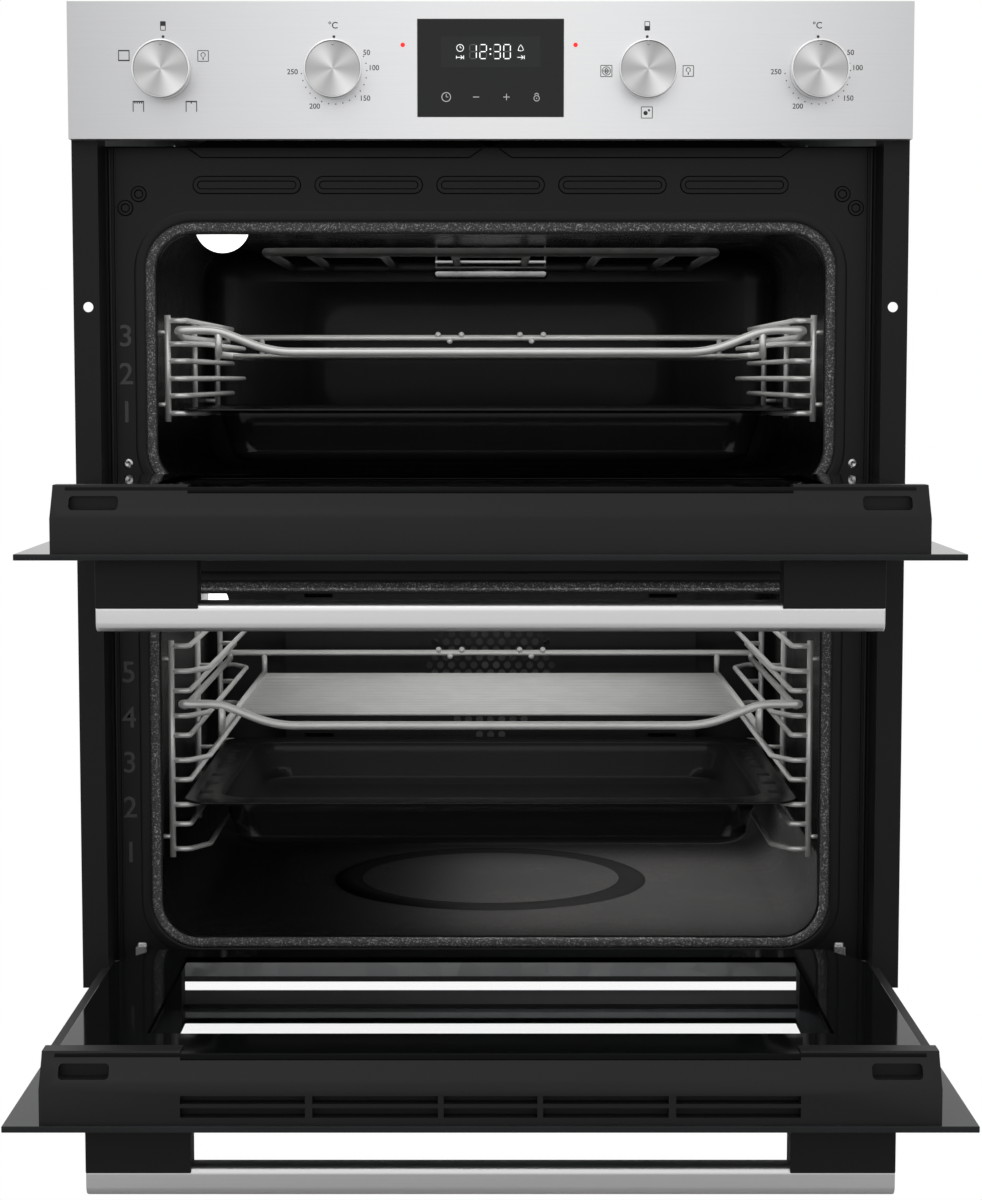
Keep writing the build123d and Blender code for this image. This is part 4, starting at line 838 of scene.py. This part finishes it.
def buildTouchKeys():
    z = displayLow[2] + 13.8
    xs = [displayX - 31.2, displayX - 10.2, displayX + 11.2, displayX + 32.4]
    keys = [stroke(arc(xs[0], z, 3.1), 0.5, symbolPlane)]
    keys.append(stroke([(xs[0], z + 1.9), (xs[0], z), (xs[0] + 1.4, z)], 0.45, symbolPlane))
    keys.append(stroke([(xs[1] - 2.2, z), (xs[1] + 2.2, z)], 0.5, symbolPlane))
    keys.append(stroke([(xs[2] - 2.2, z), (xs[2] + 2.2, z)], 0.5, symbolPlane))
    keys.append(stroke([(xs[2], z - 2.2), (xs[2], z + 2.2)], 0.5, symbolPlane))
    keys.append(stroke(arc(xs[3], z - 0.9, 1.9), 0.45, symbolPlane))
    keys.append(stroke(arc(xs[3], z + 1.3, 1.3, 0, 180, 12), 0.45, symbolPlane))
    keys.append(dot(xs[3], z - 0.9, 0.4, symbolPlane))
    paint(makePiece("touch_keys", keys, "carcass", smooth=False), "key")


buildClock()
buildTouchKeys()
print("control panel done")

# cavities

gasketLook = {"width": 8.5, "bulge": 2.0, "corner": 35.0, "inset": 0.4}
panelLow, panelHigh = corners("front_panel")
panelFront = panelHigh[1] - 1.0


def buildGasket(level):
    low, high = corners(level + "_gasket")
    centre, halfUp = (low[2] + high[2]) / 2, (high[2] - low[2]) / 2
    halfAcross = (high[0] - low[0]) / 2
    corner, inset, bulge = gasketLook["corner"], gasketLook["inset"], gasketLook["bulge"]
    width = gasketLook["width"] - 1.2
    # half-round section: offset inward across the width, standing out by a sine
    t = np.linspace(0, 1, 9)
    rings = [
        (halfAcross - inset - width * a, halfUp - inset - width * a, corner - width * a, centre,
         high[1] - bulge * math.sin(math.pi * a) ** 0.6)
        for a in t
    ]
    rings.append((halfAcross - inset, halfUp - inset, corner, centre, high[1]))
    shell = [ringShell(rings, steps=12)]
    piece = makePiece(level + "_gasket_woven", shell, "carcass", [level + "_gasket"])
    paint(piece, "fibre")


cavityLook = {"skin": 1.0, "throatHalf": 242.5, "throatCorner": 26.5, "bend": 24.0}


def buildCavity(level, emboss):
    low, high = corners(level + "_cavity")
    skin, throatHalf, throatCorner = cavityLook["skin"], cavityLook["throatHalf"], cavityLook["throatCorner"]
    half = high[0] - skin
    bottom, top = low[2] + skin, high[2] - skin
    gasketLow, gasketHigh = corners(level + "_gasket")
    throatTop = gasketHigh[2] - gasketLook["width"]
    throatBottom = gasketLow[2] + gasketLook["width"]
    front, rear = low[1], high[1] - skin
    middle, tall = (bottom + top) / 2, (top - bottom) / 2
    throatMiddle, throatTall = (throatBottom + throatTop) / 2, (throatTop - throatBottom) / 2
    mouthTall = throatTall - 0.5
    rings = [(throatHalf, mouthTall, throatCorner, throatMiddle, panelFront + 0.1)]
    rings.append((throatHalf, mouthTall, throatCorner, throatMiddle, front + 3))
    # a rounded shoulder from the mouth to the full section
    for a in np.linspace(0, 1, 5):
        ease = math.sin(a * math.pi / 2)
        rings.append((
            throatHalf + (half - throatHalf) * ease, mouthTall + (tall - mouthTall) * ease, 27.0,
            throatMiddle + (middle - throatMiddle) * ease, front + 4 + 6 * a,
        ))
    bend = cavityLook["bend"]
    for a in np.linspace(0, math.pi / 2, 8):
        inset = bend * (1 - math.cos(a))
        depth = rear - bend + bend * math.sin(a)
        rings.append((half - inset, tall - inset, max(26.0 - inset, 3.0), middle, depth))
    if emboss:
        for across, up, depth in emboss:
            rings.append((across, up, min(across, up, 26.0), middle + 2.0, rear + depth))
    rings.append((0.02, 0.02, 0.01, middle, rings[-1][4]))
    shell = [ringShell(rings, steps=12)]
    piece = makePiece(
        level + "_cavity_shell", shell, "carcass", [level + "_cavity"], outward=False,
    )
    faceInward(piece, (0.0, 0.2, middle * mm))
    paint(piece, "cavityEnamel")


# the shell is seen from inside, so its faces look towards a point within
def faceInward(piece, centre):
    bm = bmesh.new()
    bm.from_mesh(piece.data)
    bmesh.ops.recalc_face_normals(bm, faces=bm.faces)
    bm.normal_update()
    inside = Vector(centre)
    side = sum((face.calc_center_median() - inside).dot(face.normal) * face.calc_area() for face in bm.faces)
    if side > 0:
        bmesh.ops.reverse_faces(bm, faces=bm.faces)
    bm.to_mesh(piece.data)
    bm.free()


buildGasket("upper")
buildGasket("lower")
buildCavity("upper", [(168, 66, -0.5), (163, 61, -3.0), (150, 50, -7.0), (145, 45, -7.5)])
buildCavity("lower", [])


# pressed ring in the floor: height is a smooth step up and down across the ring's width
def buildFloorRing():
    low, high = corners("lower_cavity")
    flank = ([128.2, 128, 126, 123, 118, 113, 109, 106], [0.0, 0.25, 1.3, 2.5, 3.0, 2.4, 1.4, 1.3])
    disc = ([106, 60, 0.0], [1.3, 1.3, 1.3])
    angle = np.linspace(0, 2 * np.pi, 96, endpoint=False)
    rounds = (("floor_ring", flank, "floorRing"), ("floor_disc", disc, "cavityEnamel"))
    for name, (radii, lift), finish in rounds:
        radii, lift = np.array(radii), np.array(lift)
        x = radii[:, None] * np.cos(angle)
        y = 255 + radii[:, None] * np.sin(angle)
        z = np.broadcast_to((low[2] + 1.0 + 0.1 + lift)[:, None], x.shape)
        points = np.stack([x, y, z], axis=-1).reshape(-1, 3) * mm
        piece = makePiece(name, [(points, gridFaces(len(radii), 96, wrapCols=True))], "carcass")
        paint(piece, finish)


buildFloorRing()


# rims of the front panel's two mouths: a rolled edge
def buildMouth(level):
    low, high = corners(level + "_gasket")
    centre, halfUp, halfAcross = (low[2] + high[2]) / 2, (high[2] - low[2]) / 2, (high[0] - low[0]) / 2
    section = ((7.5, 0.0), (6.8, 0.25), (5.5, 0.45), (3.0, 0.5), (1.2, 0.45), (0.4, 0.2), (0.2, 0.0))
    rings = []
    for out, proud in section:
        rings.append((halfAcross + out, halfUp + out, 35.5 + out, centre, panelFront - proud))
    piece = makePiece(level + "_mouth_rim", [ringShell(rings, steps=12)], "carcass")
    paint(piece, "enamel")


buildMouth("upper")
buildMouth("lower")


# vertical pressed ribs between the panel and the recess walls
def buildRibs():
    parts = []
    for side in (-1, 1):
        for x, radius in ((276.2, 1.3), (272.4, 0.8)):
            t = np.linspace(0, np.pi, 7)
            across = side * x + radius * np.cos(t)
            out = panelFront - radius * 0.8 * np.sin(t)
            heights = np.array([panelLow[2] + 1, panelHigh[2] - 1])
            points = np.stack(np.broadcast_arrays(across[None, :], out[None, :], heights[:, None]), axis=-1)
            parts.append((points.reshape(-1, 3) * mm, gridFaces(2, 7)))
    paint(makePiece("panel_ribs", parts, "carcass"), "enamel")


buildRibs()


# the folded lip along the front of the base
def buildBaseLip():
    low, high = corners("base_plate")
    drop = 4.2
    half = high[0] - 2.0
    front = panelFront + 0.1
    tall, middle, rear = drop / 2, low[2] - drop / 2, front + 12.0
    rings = [
        (0.05, tall - 0.4, 0.04, middle, front), (half - 0.3, tall - 0.3, 0.2, middle, front),
        (half, tall, 0.4, middle, front + 0.3), (half, tall, 0.4, middle, rear),
        (0.05, tall - 0.4, 0.04, middle, rear),
    ]
    paint(makePiece("base_lip", [ringShell(rings, steps=3)], "carcass"), "lipSteel")


buildBaseLip()


# a raised bead round a slot: a half-round ridge between two flat strips painted near black as the shade in
# its creases
def bead(cx, cz, halfAcross, halfUp, corner, width):
    ridge, crease = [], []
    for a in np.linspace(0, 1, 7):
        inset = width * a
        proud = panelFront - 0.1 - 0.75 * math.sin(math.pi * a)
        ridge.append((halfAcross - inset, halfUp - inset, corner - inset, cz, proud))
    for out, proud in ((0.9, 0.02), (0.0, 0.06), (-width, 0.06), (-width - 0.9, 0.02)):
        crease.append((halfAcross + out, halfUp + out, corner + out, cz, panelFront - proud))
    shift = np.array([cx, 0, 0]) * mm
    shapes = [ringShell(rings, steps=8) for rings in (ridge, crease[:2], crease[2:])]
    return [(points + shift, faces) for points, faces in shapes]


def buildBeads():
    ridges, creases = [], []
    for number in range(5):
        ridge, outer, inner = bead((number - 2) * 88.3, 582.9, 38.5, 5.7, 5.6, 2.4)
        ridges.append(ridge)
        creases += [outer, inner]
    for side in (-1, 1):
        for cx, cz in ((255, 576.4), (264.8, 566.4)):
            ridge, outer, inner = bead(side * cx, cz, 5.0, 5.0, 4.95, 1.6)
            ridges.append(ridge)
            creases += [outer, inner]
    # painted shade along the top: dark strips where the air outlet is folded
    for start, stop in ((-219, -6), (6, 219)):
        line = [(start, 609.0), (start + 9.5, 602.5), (stop - 9.5, 602.5), (stop, 609.0)]
        creases += [stroke([line[k], line[k + 1]], 0.9, panelFront - 0.07) for k in range(3)]
    paint(makePiece("panel_beads", ridges, "carcass"), "enamel")
    paint(makePiece("panel_crease_shade", creases, "carcass", smooth=False), "paintedShade")


def buildScrews():
    parts, tabs = [], []
    for side in (-1, 1):
        profile = [(3.6, 0.0), (3.6, -0.5), (3.2, -1.0), (2.2, -1.35), (1.5, -1.4), (1.3, -0.7), (0.0, -0.6)]
        parts.append(turned(profile, (side * 264.9, panelFront, 381.3), 24))
        # the hinge's folded tab above the door's lower corner
        rings = [(3.4, 5.2, 1.2, 20.5, panelFront), (3.4, 5.2, 1.2, 20.5, panelFront - 0.9),
                 (2.9, 4.7, 0.9, 20.5, panelFront - 1.2), (1.5, 3.2, 0.7, 19.6, panelFront - 1.2),
                 (1.3, 3.0, 0.6, 19.6, panelFront - 0.4), (0.02, 0.02, 0.01, 19.6, panelFront - 0.4)]
        points, faces = ringShell(rings, steps=4)
        tabs.append((points + np.array([side * 259, 0, 0]) * mm, faces))
    paint(makePiece("panel_screws", parts, "carcass"), "lightMetal")
    paint(makePiece("hinge_tabs", tabs, "carcass"), "lightMetal")


buildBeads()
buildScrews()

levelLook = {"height": 16.0, "proud": 0.7}


def buildLevelNumbers():
    upper = [(-265.5, 418.2 + 27.6 * n) for n in range(3)]
    lower = [(-266.5, 92.9 + 33.55 * n) for n in range(5)]
    for prefix, places in (("upper", upper), ("lower", lower)):
        for number, (x, z) in enumerate(places, 1):
            lettering(
                f"{prefix}_level_{number}", str(number), x, z, levelLook["height"], panelFront, "carcass",
                "digit", levelLook["proud"],
            )


buildLevelNumbers()
print("cavities done")

# wire racks, shelves and trays

wireLook = {"rack": 2.0, "post": 2.4, "frame": 2.6, "grid": 1.5, "rail": 3.2, "sides": 10}


def rod(start, stop, radius, sides):
    return tube(np.array([start, stop]) * mm, radius * mm, sides)


def buildRack(level, side, count, first, pitch, guardRise, topGuardRise):
    name = f"{level}_rack_{'left' if side < 0 else 'right'}"
    s = side
    post, front, rear = 237.5, 52.0, 392.0
    supports = [first + pitch * n for n in range(count)]
    guards = [z + guardRise for z in supports]
    guards[-1] = supports[-1] + topGuardRise
    parts = []
    for y in (front, (front + rear) / 2, rear):
        foot, head = (s * post, y, supports[0] - 6), (s * post, y, guards[-1] + 4)
        parts.append(rod(foot, head, wireLook["post"], wireLook["sides"]))
    for y in (front, rear):
        for z in ((supports[0] + guards[0]) / 2, (supports[-1] + guards[-1]) / 2):
            parts.append(rod((s * (post - 1), y, z), (s * 248, y, z), 1.7, wireLook["sides"]))
    for support, guard in zip(supports, guards):
        line = bentLine([
            (s * post, front, support), (s * 225, front, support), (s * 212, front + 22, support),
            (s * 212, rear - 22, support), (s * 225, rear, support), (s * post, rear, support),
        ], 4.0)
        parts.append(tube(line * mm, wireLook["rack"] * mm, wireLook["sides"]))
        line = bentLine([
            (s * post, front, guard), (s * 224, front, guard),
            (s * 224, rear, guard), (s * post, rear, guard),
        ], 4.0)
        parts.append(tube(line * mm, wireLook["rack"] * mm, wireLook["sides"]))
        middle = (front + rear) / 2
        parts.append(rod((s * 224, middle, guard), (s * post, middle, guard), 1.7, 8))
    paint(makePiece(name + "_wire", parts, "carcass", [name]), "wire")


for rackSide in (-1, 1):
    buildRack("upper", rackSide, 3, 417.6, 25.5, 13.0, 17.0)
    buildRack("lower", rackSide, 5, 92.9, 33.4, 18.8, 18.8)


def buildShelf(level):
    node = level + "_wire_shelf"
    low, high = corners(node)
    half, front, rear, gridHalf = 229.0, 43.5, 397.0, 199
    grid = low[2] + 2.5
    runner = grid + 13.0
    lifted = runner + 5.0
    dipped = lifted - 16.0
    parts = []
    outline = bentLine([
        (-half, rear, runner), (-half, front + 22, runner), (-half, front + 2, lifted),
        (-half + 8, front, lifted), (-200, front, lifted), (-160, front, dipped), (160, front, dipped),
        (200, front, lifted), (half - 8, front, lifted), (half, front + 2, lifted),
        (half, front + 22, runner), (half, rear, runner),
    ], 16.0, 8)
    thick = np.where(outline[:, 1] < front + 12, wireLook["rail"], wireLook["frame"])
    parts.append(tube(outline * mm, thick * mm * 0.98, 12))
    guard = bentLine([
        (-half, rear - 1, runner), (-half, rear, lifted), (half, rear, lifted), (half, rear - 1, runner),
    ], 4.0)
    parts.append(tube(guard * mm, wireLook["frame"] * mm, 12))
    for s in (-1, 1):
        x = s * gridHalf
        parts.append(rod((x, front - 1, grid), (x, rear + 1, grid), wireLook["frame"], 10))
        parts.append(rod((x, front, grid - 1), (x, front, lifted), 2.6, 10))
        parts.append(rod((x, rear, grid - 1), (x, rear, lifted), 2.4, 10))
        for stopX, drop in ((25.4, 0), (45.8, 0), (35.6, -5.4)):
            z = lifted + 2.7 + drop
            parts.append(rod((s * stopX, rear - 2.8, z), (s * stopX, rear + 1.5, z), 2.5, 12))
    for y in np.linspace(124, 385, 26):
        parts.append(rod((-gridHalf, y, grid), (gridHalf, y, grid), wireLook["grid"], 8))
    paint(makePiece(node + "_bright", parts, node + "_body", [node]), "wire")


buildShelf("upper")
buildShelf("lower")


trayLook = {"rim": 28.0, "draft": 11.0, "corner": 26.0}


def buildTray(level):
    node = level + "_tray"
    low, high = corners(node)
    rimTop = high[2]
    bottom, corner = low[2], trayLook["corner"]
    floor = bottom + 1.0
    half = (high[0] - low[0]) / 2
    middle, long = (low[1] + high[1]) / 2, (high[1] - low[1]) / 2
    basinFront, basinRear = low[1] + 30.0, high[1] - 14.0
    basinMiddle, basinLong = (basinFront + basinRear) / 2, (basinRear - basinFront) / 2
    basinHalf = half - trayLook["rim"]
    rings = [
        (half, long, corner, middle, rimTop - 1.6), (half, long, corner, middle, rimTop - 0.5),
        (half - 0.6, long - 0.6, 25.4, middle, rimTop),
        (half - 2.0, long - 2.0, 24.0, middle, rimTop - 0.2),
        (half - 4.0, long - 4.0, 22.0, middle, rimTop - 0.8),
        (basinHalf + 4.0, basinLong + 4.0, 28.0, basinMiddle, rimTop - 0.8),
    ]
    roll = 3.5
    for a in np.linspace(0.2, 1.2, 5):
        out = 3.0 - roll * math.sin(a)
        height = rimTop - 0.8 - roll * (1 - math.cos(a))
        rings.append((basinHalf + out, basinLong + out, corner, basinMiddle, height))
    depth, bend = rimTop - bottom, 9.0
    wallEnd = trayLook["draft"] - 3.0
    for a in np.linspace(0, 1, 4):
        inset, height = wallEnd * a, rimTop - 4 - (depth - 4 - bend) * a
        rings.append((basinHalf - inset, basinLong - inset, corner - 3 * a, basinMiddle, height))
    for a in np.linspace(0.15, math.pi / 2, 6):
        inset, height = wallEnd + bend * (1 - math.cos(a)), floor + bend * (1 - math.sin(a))
        rings.append((basinHalf - inset, basinLong - inset, 21.0, basinMiddle, height))
    rings.append((basinHalf * 0.5, basinLong * 0.5, 15.0, basinMiddle, floor))
    rings.append((0.02, 0.02, 0.01, basinMiddle, floor))
    shell = [ringShell(rings, upright=False, steps=10)]
    piece = makePiece(node + "_pressed", shell, node + "_body", [node])
    wall = piece.modifiers.new("wall", "SOLIDIFY")
    wall.thickness = 0.9 * mm
    wall.offset = -1
    up = sum(face.normal.z * face.area for face in piece.data.polygons)
    if up < 0:
        piece.data.flip_normals()
    paint(piece, "trayEnamel")
    slots = []
    for s in (-1, 1):
        for number in range(7):
            y = basinFront + 25 + number * (basinRear - basinFront - 50) / 6
            x, z = s * (basinHalf + 14.0), rimTop - 0.72
            rings = [(5.0, 6.5, 2.5, 0, z), (4.6, 6.1, 2.1, 0, z + 0.05), (0.02, 0.02, 0.01, 0, z + 0.05)]
            points, faces = ringShell(rings, upright=False, steps=4)
            slots.append((points + np.array([x, y, 0]) * mm, faces))
    paint(makePiece(node + "_rim_slots", slots, node + "_body"), "steel")


buildTray("upper")
buildTray("lower")
print("racks, shelves and trays done")


# heating

def buildGrill():
    low, high = corners("upper_grill_element")
    z = (low[2] + high[2]) / 2
    half, front, rear, inner = 172.0, 122.0, 442.0, 140.0
    loop = bentLine([
        (-40, rear, z), (-40, 405, z), (-half, 405, z), (-half, front, z), (half, front, z), (half, 405, z),
        (40, 405, z), (40, rear, z),
    ], 14.0, 8)
    xs = np.linspace(-inner, inner, 6)
    points = [(-15, rear, z), (-15, 393, z), (-inner, 393, z)]
    for number, x in enumerate(xs):
        start, stop = (375, 145) if number % 2 == 0 else (145, 375)
        points += ([(x, start, z)] if number > 0 else []) + ([(x, stop, z)] if number < 5 else [])
    points += [(inner, 393, z), (15, 393, z), (15, rear, z)]
    parts = [tube(loop * mm, 3.25 * mm, 12), tube(bentLine(points, 14.0, 8) * mm, 3.25 * mm, 12)]
    paint(makePiece("grill_tubes", parts, "carcass", ["upper_grill_element"]), "element")
    plate = ringShell([
        (0.1, 0.1, 0.05, z, rear - 3), (50, 8, 3, z, rear - 3),
        (50, 8, 3, z, rear), (0.1, 0.1, 0.05, z, rear),
    ])
    paint(makePiece("grill_plate", [plate], "carcass"), "darkMetal")
    # the two flanges that carry the tubes
    bars = []
    for low, high in ((527.6, 531.8), (538.4, 540.6)):
        middle, half = (low + high) / 2, (high - low) / 2
        rings = [(0.1, 0.1, 0.05, middle, 314), (45.5, half - 0.3, half - 0.4, middle, 314),
                 (46, half, half - 0.1, middle, 313), (46, half, half - 0.1, middle, 299),
                 (45.5, half - 0.3, half - 0.4, middle, 298), (0.1, 0.1, 0.05, middle, 298)]
        bars.append(ringShell(rings, steps=5))
    paint(makePiece("grill_flanges", bars, "carcass"), "zincFlange")


buildGrill()
print("heating done")

# floor, lights, camera

sceneLook = {"floorDrop": 0.02, "sky": 0.86}


def buildFloor():
    level = cadLow[2] - sceneLook["floorDrop"]
    size = 9.0
    x, y = np.meshgrid(np.linspace(-size, size, 3), np.linspace(-size, size, 3), indexing="ij")
    points = np.stack([x, y, np.full_like(x, level)], axis=-1).reshape(-1, 3)
    mesh = bpy.data.meshes.new("floor")
    mesh.from_pydata(points.tolist(), [], gridFaces(3, 3)[:, ::-1].tolist())
    floor = bpy.data.objects.new("floor", mesh)
    bpy.context.scene.collection.objects.link(floor)
    # bright to look at, dimmer for what it lights and for its mirror image
    finish = Finish("paleFloor", Roughness=0.9)
    cloud = finish.noise(2.0, 2.0)
    finish.feed("Base Color", finish.blend(cloud, grey(0.42), grey(0.46)))
    finish.feed("Emission Color", finish.blend(cloud, grey(0.99), grey(1.0)))
    seen = finish.node("LightPath")
    white = finish.node("Emission", {}, {"Color": (1, 1, 1, 1), "Strength": 1.0})
    mix = finish.node("MixShader", {}, {0: seen, 2: white})
    finish.tree.links.new(finish.shader.outputs[0], mix.socket.node.inputs[1])
    finish.tree.links.new(mix.socket, finish.output.inputs[0])
    floor.data.materials.append(finish.material)


def softbox(name, place, target, size, power, spread=180, mirrored=True):
    light = bpy.data.lights.new(name, "AREA")
    light.shape = "RECTANGLE"
    light.size, light.size_y = size
    light.energy = power
    light.spread = math.radians(spread)
    lamp = bpy.data.objects.new(name, light)
    bpy.context.scene.collection.objects.link(lamp)
    lamp.location = place
    lamp.visible_camera = False
    lamp.visible_glossy = mirrored
    direction = Vector(target) - Vector(place)
    lamp.rotation_euler = direction.to_track_quat("-Z", "Y").to_euler()


def buildLights():
    world = bpy.data.worlds.new("studio")
    bpy.context.scene.world = world
    world.use_nodes = True
    tree = world.node_tree
    sky = tree.nodes["Background"]
    sky.inputs[0].default_value = (1, 1, 1, 1)
    sky.inputs[1].default_value = sceneLook["sky"]
    bright = tree.nodes.new("ShaderNodeBackground")
    bright.inputs[0].default_value = (1, 1, 1, 1)
    bright.inputs[1].default_value = 1.0
    path = tree.nodes.new("ShaderNodeLightPath")
    mix = tree.nodes.new("ShaderNodeMixShader")
    tree.links.new(path.outputs["Is Camera Ray"], mix.inputs[0])
    tree.links.new(sky.outputs[0], mix.inputs[1])
    tree.links.new(bright.outputs[0], mix.inputs[2])
    tree.links.new(mix.outputs[0], tree.nodes["World Output"].inputs[0])
    softbox("key", (-0.7, -1.9, 2.6), (0, 0, 0.3), (1.8, 1.0), 6)
    softbox("upperCavityGlow", (0.0, 0.20, 0.549), (0.0, 0.20, 0.3), (0.40, 0.26), 1.6, mirrored=False)
    softbox("lowerCavityGlow", (0.0, 0.20, 0.290), (0.0, 0.20, 0.0), (0.46, 0.34), 0.95, mirrored=False)
    softbox("floorGlow", (0.12, 0.20, 0.084), (0.12, 0.20, 0.0), (0.30, 0.30), 3.6, mirrored=False)
    softbox("basinGlow", (0.0, 0.20, 0.180), (0.0, 0.20, 0.0), (0.36, 0.26), 0.6, mirrored=False)
    softbox("front", (0.0, -2.6, 0.5), (0.0, 0.0, 0.25), (2.4, 1.2), 5.0, mirrored=False)


def buildCamera():
    camera = bpy.data.objects.new("camera", bpy.data.cameras.new("camera"))
    bpy.context.scene.collection.objects.link(camera)
    camera.data.lens = 76.14
    camera.data.sensor_width = 36.0
    camera.location = (0.0003, -1.8228, 0.443)
    camera.rotation_euler = (math.radians(90 - 4.98), 0, 0)
    bpy.context.scene.camera = camera


buildFloor()
buildLights()
buildCamera()
bpy.context.scene.view_settings.view_transform = "Standard"
print("stage done")
